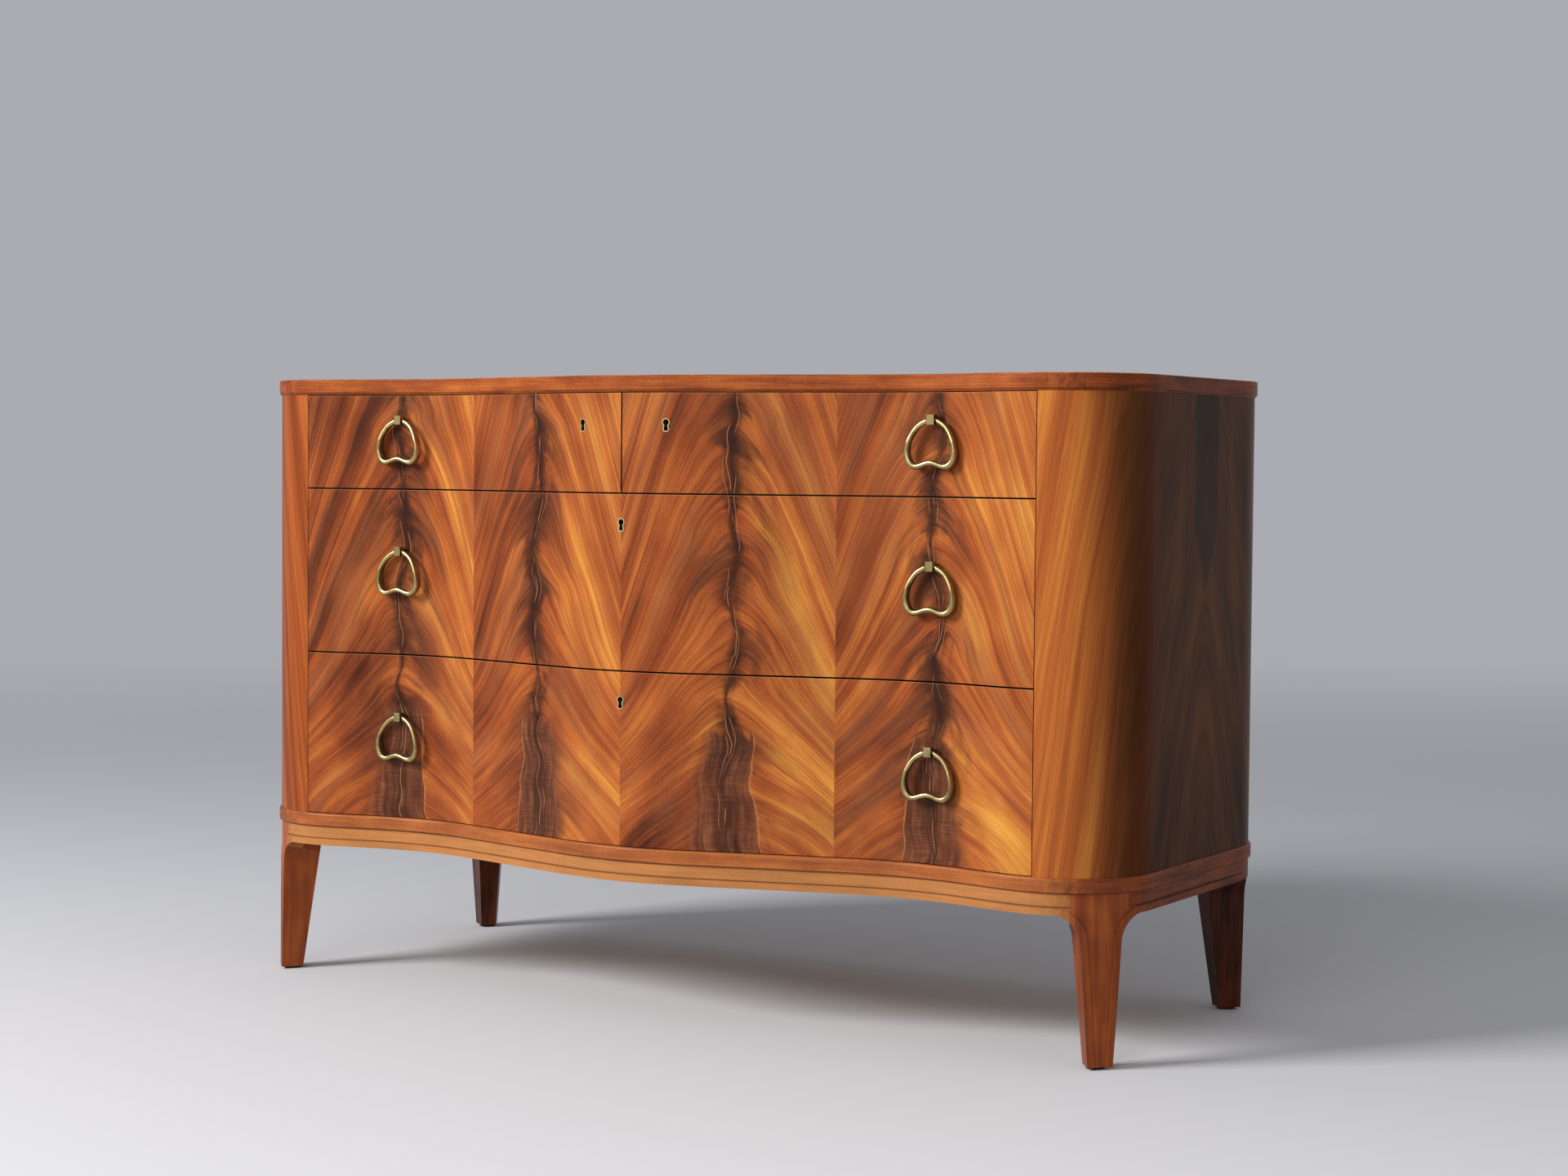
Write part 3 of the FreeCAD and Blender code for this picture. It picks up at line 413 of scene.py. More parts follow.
@dataclass(frozen=True)
class FlameVeneer:
    """Four book-matched leaves of crotch veneer under French polish, on the drawer fronts.

    Attributes:
        seam: How far the outer seams are from the middle one.
        core: How far each leaf's plume is from its seams.
        band_top: Height up to which the plumes' feet are dark.
        steepen: Heights between which the plumes' sides grow steep.
        threads: Pale threads in the core: offset, width, and a number that tells them apart.
        arrises: Heights of the drawer fronts' upper edges, where a thin pale line paints the highlight of the
            rounded edge together with its worn polish.
    """

    seam: float = 258.0
    core: float = 120.0
    band_top: float = 352.0
    steepen: tuple[float, float] = (225.0, 480.0)
    threads: tuple[tuple[float, float, float], ...] = (
        (-3.0, 0.34, 1.0), (1.0, 0.46, 4.0), (6.0, 0.34, 8.0))
    heart_tone: Colour = (0.024, 0.008, 0.005)
    smoke_tone: Colour = (0.060, 0.018, 0.009)
    umber_tone: Colour = (0.20, 0.075, 0.031)
    rim_tone: Colour = (0.50, 0.20, 0.075)
    thread_tone: Colour = (0.50, 0.20, 0.080)
    pore_tone: Colour = (0.06, 0.013, 0.004)
    edge_highlight_tone: Colour = (0.60, 0.35, 0.18)
    arrises: tuple[float, ...] = ()

    def level(self, z: Wire, off: Wire) -> Wire:
        """Height at the core of the plume that passes a point.

        It is z plus a steepness times a curve of the offset. The curve is the root of the
        offset's square and 1500, less that root at the core, plus the square over 140.

        Args:
            z: Height of the point.
            off: Its distance from the core.

        Returns:
            The plume's height; lines of equal value arch over the core and steepen upwards.
        """
        low, high = self.steepen
        steep = z.step(low, high) * 0.82 + (z - high).most(0.0) * 0.0010 + 0.36
        return z + ((off * off + 1500.0).root() - 38.7 + off * off * (1.0 / 140.0)) * steep

    def build(self, name: str) -> bpy.types.Material:
        """Makes the material.

        Args:
            name: Its name.

        Returns:
            The material.
        """
        g = Graph(name)
        x, y, z = g.position()
        beyond = abs(x) - self.seam
        leaf = x.sign() * 1.3 + beyond.sign() * 3.7
        wander = g.noise((z / 105.0, leaf * 0.06, 3.0), 2.0, 0.45)
        straight = abs(beyond) - self.core
        across = straight - (wander - 0.5) * straight.bell(60.0) * 66.0
        off = abs(across)
        right = across * x.sign() * beyond.sign()
        bend = g.noise((x / 130.0, z / 190.0, leaf), 1.0)
        line = self.level(z, off) + bend.swing(26.0)
        patch = g.noise((x / 75.0, z / 110.0, 12.0), 2.0, 0.5)
        broad = g.noise((line / 62.0, across / 170.0, leaf * 0.35), 2.0, 0.5, 0.1)
        streak = g.noise((line / 15.0, across / 170.0, leaf * 0.2), 4.0, 0.62)
        fine = g.noise((line / 3.4, across / 80.0, leaf), 4.0, 0.70)
        speck = g.noise((x / 1.3, z / 1.9, leaf), 2.0, 0.7)
        # Painted shimmer: each leaf is lighter and more golden on one side of its core and darker on the other,
        # standing for the play of light on crotch figure.
        painted_sheen = right.step(-60.0, 75.0)
        tone = (0.405 + speck.swing(0.20) + broad.swing(0.72) + streak.swing(0.56)
                + fine.swing(0.50) + patch.swing(0.40) + painted_sheen.swing(0.14)
                + off.step(8.0, 115.0) * 0.05 + x * 0.00006)
        colour = g.ramp(tone, GRAIN)
        umber = g.noise((line / 70.0, across / 110.0, leaf + 30.0), 2.0)
        colour = g.blend(umber.over(0.46, 0.22) * 0.34, colour, self.umber_tone)
        smoke = self.smoke(g, line, across, off, leaf)
        colour = g.blend(smoke, colour, self.smoke_tone)
        colour = self.dress_core(g, z, across, leaf, colour)
        pores = g.noise((line / 1.5, across / 11.0, leaf), 1.0)
        flecks = pores.over(0.66, 0.09)
        colour = g.blend(flecks * 0.26, colour, self.pore_tone)
        # Painted highlight: a thin pale line under each front's upper edge, for light caught on the rounded arris
        # and its worn polish.
        for arris in self.arrises:
            colour = g.blend((z - arris + 0.30).bell(0.40) * 0.20, colour, self.edge_highlight_tone)
        # The faces that do not look forward take that dark edge colour, which paints the shade in the gaps between
        # the drawers.
        solid = g.noise((x / 60.0, y / 3.0, z / 2.4), 3.0)
        inner = g.ramp(solid, FRONT_EDGE_STAIN_AND_SHADE)
        colour = g.blend(g.facing(Facing.FRONT), inner, colour)
        g.polish(colour, FRONT_POLISH)
        g.bump(flecks * -1.0 + fine * 0.35, 0.03)
        return g.material

    def smoke(self, g: Graph, line: Wire, across: Wire, off: Wire, leaf: Wire) -> Wire:
        """Dark patches beside the core that trail down along the plumes.

        Args:
            g: The material's graph.
            line: The plume's height.
            across: Offset from the core with its sign.
            off: Its size.
            leaf: A number that differs from leaf to leaf.

        Returns:
            How dark, from 0 to 1.
        """
        patch = g.noise((line / 62.0, across / 70.0, leaf * 0.3 + 7.0), 3.0, 0.6, 0.5)
        wisps = g.noise((line / 7.0, across / 60.0, leaf + 2.0), 3.0, 0.6)
        rim = off.fade(42.0)
        return (patch.over(0.46, 0.16) * rim * (wisps * 1.1 + 0.60)
                + wisps.over(0.52, 0.14) * rim * 0.45).least(0.86)

    def dress_core(self, g: Graph, z: Wire, across: Wire, leaf: Wire, colour: Any) -> Any:
        """The dark heart line with its pale threads, and the broad dark band at its foot.

        Args:
            g: The material's graph.
            z: Height.
            across: Offset from the core with its sign.
            leaf: A number that differs from leaf to leaf.
            colour: The figure's colour so far.

        Returns:
            The colour with the core laid over it.
        """
        ragged = g.noise((across / 10.0, z / 40.0, leaf + 11.0), 4.0, 0.6)
        swell = g.noise((z / 62.0, leaf * 0.4, 5.0), 2.0)
        heart = (across + ragged.swing(14.0)).bell(((swell - 0.32) * 56.0).most(4.0))
        colour = g.blend(heart * (ragged * 0.6 + 0.58), colour, self.heart_tone)
        spread = (self.band_top - z + ragged.swing(30.0)).step(-4.0, 8.0)
        edge = (self.band_top - z) * 0.10 + 25.0 + ragged.swing(9.0)
        crisp = edge + across
        inside = crisp.step(-1.5, 2.5) * (edge - across).step(-16.0, 10.0) * spread
        ripple = g.noise((z / 2.4, across / 30.0, leaf), 2.0)
        grainy = g.noise((across / 6.0, z / 60.0, leaf + 4.0), 2.0)
        band = g.ramp(ripple * 0.30 + grainy * 0.70, DARK_FOOT)
        colour = g.blend(inside * 0.90, colour, band)
        colour = g.blend(crisp.bell(0.7) * spread * 0.45, colour, self.rim_tone)
        colour = g.blend(heart * spread * 0.55, colour, self.heart_tone)
        for offset, width, phase in self.threads:
            sway = g.noise((z / 60.0, phase, leaf), 1.0).swing(22.0)
            shown = g.noise((z / 45.0, phase + 20.0, leaf), 1.0).over(0.47, 0.10)
            thread = (across - offset - sway).bell(width)
            colour = g.blend(thread * shown * 0.62, colour, self.thread_tone)
        return colour


@dataclass(frozen=True)
class SideVeneer:
    """Book-matched veneer that wraps the sides and the rounded corners.

    Lengths run along the surface from the seam in the middle of each side.

    Attributes:
        lit_corner: Lengths ahead of the seam where the corner's lit colour begins and is full; on the flat of the
            side behind it, the darker colour is painted shade.
        lean: How far the stripes lean for each millimetre of height.
        point_foot: Height at which the dark stripe on the seam comes to its point.
        point_half: Its greatest half width.
        hood_half: How far the dark hood's lines are from the seam.
        chevron: Height of the dark arrow on the seam.
        dark_line: Length ahead of the seam of the reddish dark line.
    """

    lit_corner: tuple[float, float] = (172.0, 262.0)
    lean: float = 0.15
    point_foot: float = 512.0
    point_half: float = 33.0
    hood_half: float = 62.0
    chevron: float = 545.0
    dark_line: float = 158.0
    mark_tone: Colour = (0.022, 0.013, 0.007)
    line_tone: Colour = (0.080, 0.015, 0.003)
    pore_tone: Colour = (0.05, 0.012, 0.004)

    def build(self, name: str) -> bpy.types.Material:
        """Makes the material.

        Args:
            name: Its name.

        Returns:
            The material.
        """
        g = Graph(name)
        x, y, z = g.position()
        along = PLAN.along_side(g, x, y)
        away = abs(along)
        bend = g.noise((along / 210.0, z / 380.0, 1.0), 1.0)
        corner = (along * -1.0).step(*self.lit_corner)
        slant = along - z * self.lean + bend.swing(34.0)
        broad = g.noise((slant / 22.0, z / 900.0, 2.0), 2.0, 0.5)
        streak = g.noise((slant / 6.0, z / 700.0, 5.0), 3.0, 0.6)
        fine = g.noise((slant / 1.5, z / 80.0, 9.0), 3.0, 0.65)
        # Painted light: the tone rises towards the lit corner, and it is lowered on the left-hand side, where x is
        # below -400 mm, as painted shade.
        lit_tone = (0.36 + corner * 0.19 + broad.swing(0.62) + streak.swing(0.42)
                + fine.swing(0.30) - x.step(-400.0, -560.0) * 0.17)
        plume = z + (along * along + 160.0).root() * 2.5 + bend.swing(120.0)
        cloud = g.noise((plume / 120.0, away / 70.0, 2.0), 3.0, 0.55, 0.4)
        arcs = g.noise((plume / 24.0, away / 46.0, 5.0), 3.0, 0.6)
        dim = 0.46 + cloud.swing(1.05) + arcs.swing(0.45) + fine.swing(0.16)
        # Lit and shaded copies of one wood: the flat of the side takes SHADED and the corner takes GRAIN, a
        # painted fall of light round the corner.
        colour = g.blend(corner, g.ramp(dim, SHADED), g.ramp(lit_tone, GRAIN))
        point = ((z - self.point_foot) * 0.40).most(0.0).least(self.point_half)
        ragged = streak.swing(16.0)
        stripe = (point - away + ragged).step(-3.0, 4.0) * z.step(505.0, 540.0)
        hood = (away - self.hood_half + (z - 690.0).most(0.0) * 0.8 + bend.swing(24.0)).bell(2.6)
        chevron = (plume - self.chevron).bell(8.0) * away.fade(110.0)
        marks = (stripe * 0.60 + hood * z.step(330.0, 600.0) * 0.40 + chevron * 0.5).least(0.8)
        colour = g.blend(marks, colour, self.mark_tone)
        dark = (along + self.dark_line + arcs.swing(36.0) - (z - 480.0) * 0.05).bell(26.0)
        colour = g.blend(dark * 0.72, colour, self.line_tone)
        pores = g.noise((slant / 1.0, z / 12.0, 3.0), 1.0)
        flecks = pores.over(0.66, 0.09)
        colour = g.blend(flecks * 0.25, colour, self.pore_tone)
        g.polish(colour, SIDE_POLISH)
        g.bump(flecks * -1.0 + fine * 0.35, 0.03)
        return g.material


@dataclass(frozen=True)
class TopVeneer:
    """Book-matched veneer on the top, with grain that runs round the slab's edge.

    Attributes:
        seam: Depth at which the two leaves meet.
    """

    seam: float = 0.0

    def build(self, name: str) -> bpy.types.Material:
        """Makes the material.

        Args:
            name: Its name.

        Returns:
            The material.
        """
        g = Graph(name)
        x, y, z = g.position()
        away = abs(y - self.seam)
        bend = g.noise((x / 260.0, y / 130.0, 4.0), 2.0)
        line = away + bend.swing(70.0) + x * x * (1.0 / 9000.0)
        broad = g.noise((line / 24.0, x / 500.0, 2.0), 3.0, 0.55, 0.2)
        streak = g.noise((line / 5.0, x / 260.0, 5.0), 3.0, 0.6)
        fine = g.noise((line / 1.5, x / 70.0, 9.0), 2.0, 0.6)
        tone = 0.48 + broad.swing(0.85) + streak.swing(0.45) + fine.swing(0.22)
        upper = g.ramp(tone, GRAIN)
        edge = edge_grain(g, x, y, z, 0.40)
        colour = g.blend(g.facing(Facing.UP), edge, upper)
        g.polish(colour, FRONT_POLISH)
        g.bump(fine, 0.02)
        return g.material


def edge_grain(g: Graph, x: Wire, y: Wire, z: Wire, middle: float) -> Any:
    """Horizontal grain that runs round the plan, as on a slab's edge or a moulding.

    Args:
        g: The material's graph.
        x: Across.
        y: Depth.
        z: Height.
        middle: Its mean tone.

    Returns:
        The colour's socket.
    """
    run = PLAN.turn(g, x, y)
    sway = g.noise((run / 130.0, z / 60.0, 8.0), 2.0)
    line = z + sway.swing(10.0)
    broad = g.noise((run / 120.0, line / 8.0, 1.0), 3.0, 0.55)
    streak = g.noise((run / 70.0, line / 1.8, 6.0), 3.0, 0.6)
    blotch = g.noise((run / 55.0, z / 30.0, 2.0), 2.0)
    flecks = g.noise((run / 5.0, line / 0.9, 3.0), 1.0)
    # Painted shade: the edge is made darker where it turns onto the sides, beyond 500 mm across.
    side = (abs(x) - 500.0).step(0.0, 90.0)
    tone = (middle - side * 0.13 + broad.swing(0.45) + streak.swing(0.30)
            + blotch.swing(0.34))
    colour = g.ramp(tone, GRAIN)
    colour = g.blend(flecks.over(0.63, 0.09) * 0.22, colour, (0.62, 0.30, 0.10))
    return g.blend((0.36 - flecks).step(0.0, 0.06) * 0.30, colour, (0.06, 0.014, 0.005))


@dataclass(frozen=True)
class BaseWood:
    """Solid polished wood of the base: along the aprons, down the legs.

    Attributes:
        upright: Whether the grain runs down, as on the legs.
        bead_top: Height of the dark line over the bead, painted shade in the groove there.
        apron_top: Height of the dark line over the apron, painted shade in the joint there.
    """

    upright: bool = False
    bead_top: float = 179.9
    apron_top: float = 195.6
    honey: tuple[Colour, Colour] = ((0.42, 0.185, 0.055), (0.58, 0.31, 0.105))
    line_tone: Colour = (0.045, 0.013, 0.005)

    def build(self, name: str) -> bpy.types.Material:
        """Makes the material.

        Args:
            name: Its name.

        Returns:
            The material.
        """
        g = Graph(name)
        x, y, z = g.position()
        if self.upright:
            bend = g.noise((x / 90.0, y / 90.0, z / 160.0), 2.0)
            run = (x + y) * 0.7 + bend.swing(26.0)
            side = (x - y) * 0.7
            broad = g.noise((run / 14.0, side / 34.0, z / 190.0), 3.0, 0.55)
            streak = g.noise((run / 3.0, side / 11.0, z / 80.0), 3.0, 0.6)
            blotch = g.noise((x / 34.0, y / 34.0, z / 40.0), 2.0)
            # The back legs are made darker, from 0 to 90 mm in depth, as painted shade under the case.
            tone = (0.38 + broad.swing(0.50) + streak.swing(0.24) + blotch.swing(0.22)
                    - y.step(0.0, 90.0) * 0.27)
            colour = g.ramp(tone, GRAIN)
        else:
            colour = edge_grain(g, x, y, z, 0.43)
            streak = g.noise((x / 50.0, y / 50.0, z / 1.6), 2.0)
            honey = g.blend(streak, *self.honey)
            # The paler honey colour stays on the front; leaving it off the sides paints the shade there.
            ahead = (abs(x) * -1.0 + 545.0).step(-45.0, 15.0)
            colour = g.blend((z.step(197.0, 193.0) * 0.36 + 0.10) * ahead, colour, honey)
            # Painted shade: thin dark lines in the groove over the bead and in the joint over the apron.
            quirk_shade = (z - self.bead_top).bell(0.8).most((z - self.apron_top).bell(0.8))
            colour = g.blend(quirk_shade * 0.72, colour, self.line_tone)
        g.polish(colour, BASE_POLISH)
        g.bump(streak, 0.03)
        return g.material


@dataclass(frozen=True)
class PlainWood:
    """Unpolished board: a pale ground with darker lines along its grain.

    Attributes:
        pale: Colour of the ground.
        deep: Colour of the lines.
        lengths: Size of the grain across, in depth and in height; long along the grain.
    """

    pale: Colour
    deep: Colour
    lengths: tuple[float, float, float]
    soil_tone: Colour = (0.17, 0.085, 0.035)

    def build(self, name: str) -> bpy.types.Material:
        """Makes the material.

        Args:
            name: Its name.

        Returns:
            The material.
        """
        g = Graph(name)
        x, y, z = g.position()
        bend = g.noise((x / 210.0, y / 210.0, z / 210.0), 2.0)
        at = [axis / length + bend.swing(2.4) for axis, length in zip((x, y, z), self.lengths)]
        rings = g.noise(at, 3.0, 0.6, 0.3)
        finer = [axis / length * 6.0 for axis, length in zip((x, y, z), self.lengths)]
        lines = g.noise(finer, 2.0, 0.6)
        soil = g.noise((x / 140.0, y / 140.0, z / 60.0), 3.0)
        tone = rings.swing(1.5) + lines.swing(0.7) + 0.5
        colour = g.ramp(tone, ((0.2, self.deep), (0.75, self.pale)))
        colour = g.blend(soil.over(0.5, 0.22) * 0.14, colour, self.soil_tone)
        g.polish(colour, BARE_WOOD)
        g.bump(lines, 0.08)
        return g.material


@dataclass(frozen=True)
class Metal:
    """Aged metal: tarnish in patches, brighter where hands have rubbed it.

    Attributes:
        bright: Colour of the rubbed places.
        dull: Colour of the tarnish.
        low: Roughness of the rubbed places.
        high: Roughness of the tarnish.
        grain: Size of the patches.
    """

    bright: Colour
    dull: Colour
    low: float
    high: float
    grain: float = 9.0

    def build(self, name: str) -> bpy.types.Material:
        """Makes the material.

        Args:
            name: Its name.

        Returns:
            The material.
        """
        g = Graph(name)
        x, y, z = g.position()
        patches = g.noise((x / self.grain, y / self.grain, z / self.grain), 4.0, 0.6)
        specks = g.noise((x / 0.8, y / 0.8, z / 0.8), 2.0, 0.6)
        worn = patches.swing(1.8) + 0.5
        colour = g.ramp(worn, ((0.15, self.dull), (0.75, self.bright)))
        colour = g.blend(specks.over(0.64, 0.08) * 0.6, colour,
                         tuple(channel * 0.35 for channel in self.dull))
        rough = (1.0 - worn).most(0.0).least(1.0) * (self.high - self.low) + self.low
        g.polish(colour, BARE_METAL, rough)
        g.bump(patches * 0.7 + specks * 0.3, 0.004)
        return g.material


@dataclass(frozen=True)
class Felt:
    """Pressed dark felt of the foot pads."""

    def build(self, name: str) -> bpy.types.Material:
        """Makes the material.

        Args:
            name: Its name.

        Returns:
            The material.
        """
        g = Graph(name)
        x, y, z = g.position()
        fuzz = g.noise((x / 0.9, y / 0.9, z / 0.5), 3.0, 0.7)
        colour = g.ramp(fuzz, FELT)
        g.polish(colour, PRESSED_FELT)
        g.bump(fuzz, 0.2)
        return g.material


FINISHES: dict[str, Any] = {
    "top_veneer": TopVeneer(),
    "front_veneer": FlameVeneer(),
    "side_veneer": SideVeneer(),
    "base_wood": BaseWood(),
    "leg_wood": BaseWood(upright=True),
    "case_wood": PlainWood((0.56, 0.39, 0.20), (0.38, 0.22, 0.095), (420.0, 26.0, 14.0)),
    "back_wood": PlainWood((0.33, 0.170, 0.070), (0.19, 0.088, 0.034), (34.0, 20.0, 900.0)),
    "drawer_wood": PlainWood((0.56, 0.36, 0.165), (0.38, 0.21, 0.082), (420.0, 420.0, 12.0)),
    "drawer_bottom_wood": PlainWood((0.64, 0.49, 0.30), (0.50, 0.34, 0.18),
                                    (30.0, 420.0, 20.0)),
    "handle_brass": Metal((0.47, 0.37, 0.165), (0.19, 0.145, 0.055), 0.20, 0.40, 14.0),
    "keyhole_brass": Metal((0.62, 0.50, 0.28), (0.36, 0.27, 0.14), 0.26, 0.45, 4.0),
    "lock_brass": Metal((0.55, 0.42, 0.19), (0.28, 0.20, 0.09), 0.34, 0.55, 14.0),
    "bolt_steel": Metal((0.50, 0.49, 0.47), (0.28, 0.26, 0.24), 0.30, 0.52, 6.0),
    "foot_felt": Felt(),
}


@dataclass
class Dresser:
    """Keeps one material per finish and puts them on the solids."""

    made: dict[str, bpy.types.Material] = field(default_factory=dict)

    def finish(self, slot: str) -> bpy.types.Material:
        """The material of a slot, made the first time it is asked for.

        Args:
            slot: The finish's name.

        Returns:
            The material.
        """
        if slot not in self.made:
            finish = FINISHES[slot]
            if isinstance(finish, FlameVeneer):
                finish = replace(finish, arrises=self.front_tops())
            self.made[slot] = finish.build(slot)
        return self.made[slot]

    def front_tops(self) -> tuple[float, ...]:
        """Heights of the drawer fronts' upper edges.

        Returns:
            The heights in millimetres, each once.
        """
        tops = set()
        for node, solid in frame["nodes"].items():
            if node.endswith("_drawer_front"):
                points = np.empty(len(solid.data.vertices) * 3)
                solid.data.vertices.foreach_get("co", points)
                tops.add(round(float(points[2::3].max()) / MM, 1))
        return tuple(sorted(tops))

    def dress(self, name: str, slot: str) -> None:
        """Puts a finish on every material slot of a solid.

        Args:
            name: The node.
            slot: The finish.
        """
        solid = frame["nodes"][name]
        material = self.finish(slot)
        if not solid.material_slots:
            solid.data.materials.append(material)
        for holder in solid.material_slots:
            holder.material = material

    def dress_all(self) -> None:
        """Gives each solid the finish that the record names for it; legs get upright grain."""
        for part in frame["record"]["subparts"]:
            slot = part["material_slot"]
            if part["node"].endswith("_leg"):
                slot = "leg_wood"
            self.dress(part["node"], slot)
            log.info("%s dressed as %s", part["node"], slot)


def new_mesh(name: str, points: np.ndarray, faces: np.ndarray,
             material: bpy.types.Material, smooth: bool = True) -> bpy.types.Object:
    """Makes an object whose place is in its mesh.

    Args:
        name: Its name.
        points: Vertices in metres, one a row.
        faces: Four vertex numbers a row.
        material: Its finish.
        smooth: Whether it shades smoothly.

    Returns:
        The object.
    """
    mesh = bpy.data.meshes.new(name)
    mesh.from_pydata(points.tolist(), [], faces.tolist())
    mesh.materials.append(material)
    mesh.polygons.foreach_set("use_smooth", np.full(len(mesh.polygons), smooth))
    mesh.update()
    made = bpy.data.objects.new(name, mesh)
    bpy.context.scene.collection.objects.link(made)
    return made


def through_points(points: np.ndarray, count: int) -> np.ndarray:
    """A smooth curve through rows of points: cubic pieces with the slopes of their neighbours.

    Args:
        points: One point a row.
        count: How many rows come out.

    Returns:
        The sampled curve.
    """
    padded = np.vstack([2 * points[0] - points[1], points, 2 * points[-1] - points[-2]])
    place = np.linspace(0.0, len(points) - 1.0, count)
    start = np.minimum(place.astype(int), len(points) - 2)
    share = (place - start)[:, None]
    before, here, there, after = (padded[start + step] for step in range(4))
    return 0.5 * (2 * here + (there - before) * share
                  + (2 * before - 5 * here + 4 * there - after) * share ** 2
                  + (3 * here - before - 3 * there + after) * share ** 3)


def grid_faces(rows: int, columns: int, offset: int = 0) -> np.ndarray:
    """Quads of a grid whose columns close round.

    Args:
        rows: Rows of vertices.
        columns: Vertices in each row.
        offset: Number of the first vertex.

    Returns:
        Four vertex numbers a row.
    """
    row, column = np.meshgrid(np.arange(rows - 1), np.arange(columns), indexing="ij")
    following = (column + 1) % columns
    corners = (row * columns + column, row * columns + following,
               (row + 1) * columns + following, (row + 1) * columns + column)
    return np.stack([corner.ravel() for corner in corners], axis=1) + offset


@dataclass
class RingPull:
    """A cast ring that hangs in its block: two limbs that swell to a dented foot.

    Attributes:
        node: The solid that it stands for.
        body: The body that it rides on.
        half_width: From its middle to its widest place.
        drop: From the hinge to its foot.
        depth: Half its depth at the hinge.
        pin_radius: Radius of the pins at its ends.
        pins_span: Where each pin starts and ends, from its middle.
        rows: Steps along the ring.
        columns: Steps round its section.
        swell: How much half its depth grows down the limbs.
        swell_share: Share of the drop by which it has grown.
        forward: Share of the swell that goes to the front.
        squareness: 1 for a round section, less for a squarer one.
        end_rows: How many rows the ends close within.
        end_scale: Size that the first and last rows keep.
        outer: Its outer edge from the right end to the foot, in half widths and drops.
        inner: Its inner edge, given as the outer one is.
    """

    node: str
    body: str
    half_width: float = 33.2
    drop: float = 56.3
    depth: float = 2.7
    pin_radius: float = 1.5
    pins_span: tuple[float, float] = (3.1, 6.6)
    rows: int = 120
    columns: int = 20
    swell: float = 2.6
    swell_share: float = 0.45
    forward: float = 0.70
    squareness: float = 0.8
    end_rows: float = 1.1
    end_scale: float = 0.02
    outer: tuple[tuple[float, float], ...] = (
        (0.14, 0.04), (0.42, -0.035), (0.66, -0.15), (0.86, -0.34), (0.97, -0.53),
        (1.00, -0.69), (0.96, -0.82), (0.85, -0.925), (0.66, -0.995), (0.45, -0.99),
        (0.22, -0.945), (0.00, -0.92))
    inner: tuple[tuple[float, float], ...] = (
        (0.14, -0.075), (0.37, -0.14), (0.55, -0.24), (0.725, -0.40), (0.80, -0.55),
        (0.80, -0.67), (0.75, -0.77), (0.67, -0.84), (0.54, -0.872), (0.38, -0.858),
        (0.20, -0.822), (0.00, -0.80))

    def hinge(self) -> np.ndarray:
        """Where the ring's pins turn, from its joint."""
        joint = [item for item in frame["joints"] if item["child"] == self.body][0]
        return np.array(joint["pos_m"])

    def outline(self, shares: Sequence[tuple[float, float]]) -> np.ndarray:
        """One edge from the right end round to the left.

        Args:
            shares: Its right half, in half widths and drops.

        Returns:
            Its points across and up, in millimetres from the hinge.
        """
        right = np.array(shares) * [self.half_width, self.drop]
        left = right[-2::-1] * [-1.0, 1.0]
        return through_points(np.vstack([right, left]), self.rows)

    def surface(self) -> tuple[np.ndarray, np.ndarray]:
        """The ring as a tube: a rounded section carried along the line between both edges.

        A point is the middle of the two edges plus cos(angle) times half their distance and
        sin(angle) times the half depth; both are raised to the squareness, which gives a
        slightly squared round. The half depth grows by the swell down the limbs, mostly towards
        the front, and the first and last rows shrink to close the ends.

        Returns:
            Vertices in millimetres from the hinge, and faces.
        """
        outer, inner = self.outline(self.outer), self.outline(self.inner)
        middle, half = (outer + inner) / 2, (outer - inner) / 2
        angle = np.linspace(0.0, 2 * math.pi, self.columns, endpoint=False)
        cosine, sine = np.cos(angle), np.sin(angle)
        wide, deep = (np.abs(part) ** self.squareness * np.sign(part) for part in (cosine, sine))
        share = np.linspace(-1.0, 1.0, self.rows)
        closing = np.clip((1.0 - np.abs(share)) * self.rows / (2 * self.end_rows), 0.0, 1.0) ** 0.5
        closing[[0, -1]] = self.end_scale
        plane = middle[:, None] + half[:, None] * wide[None, :, None] * closing[:, None, None]
        grown = np.clip(-middle[:, 1] / (self.drop * self.swell_share), 0.0, 1.0)
        swell = (grown * self.swell)[:, None]
        depth = (deep * (self.depth + swell) - swell * self.forward) * closing[:, None]
        points = np.stack([plane[..., 0], depth, plane[..., 1]], axis=-1).reshape(-1, 3)
        return points, grid_faces(self.rows, self.columns)[:, ::-1]

    def pins(self, start: int) -> tuple[np.ndarray, np.ndarray]:
        """The two end pins: a straight round tube each, with flat ends drawn in to a point.

        Args:
            start: Number of the first vertex.

        Returns:
            Vertices in millimetres and faces.
        """
        angle = np.linspace(0.0, 2 * math.pi, 12, endpoint=False)
        radii = np.array([0.01, 1.0, 1.0, 0.01]) * self.pin_radius
        points, faces = [], []
        for side in (1.0, -1.0):
            stations = side * np.repeat(self.pins_span, 2)
            across = np.repeat(stations, len(angle))
            round_off = np.outer(radii, np.cos(angle)).ravel()
            height = np.outer(radii, np.sin(angle)).ravel()
            points.append(np.stack([across, round_off, height], axis=1))
            quads = grid_faces(len(radii), len(angle), start)
            faces.append(quads[:, ::-1] if side < 0 else quads)
            start += len(across)
        return np.vstack(points), np.vstack(faces)

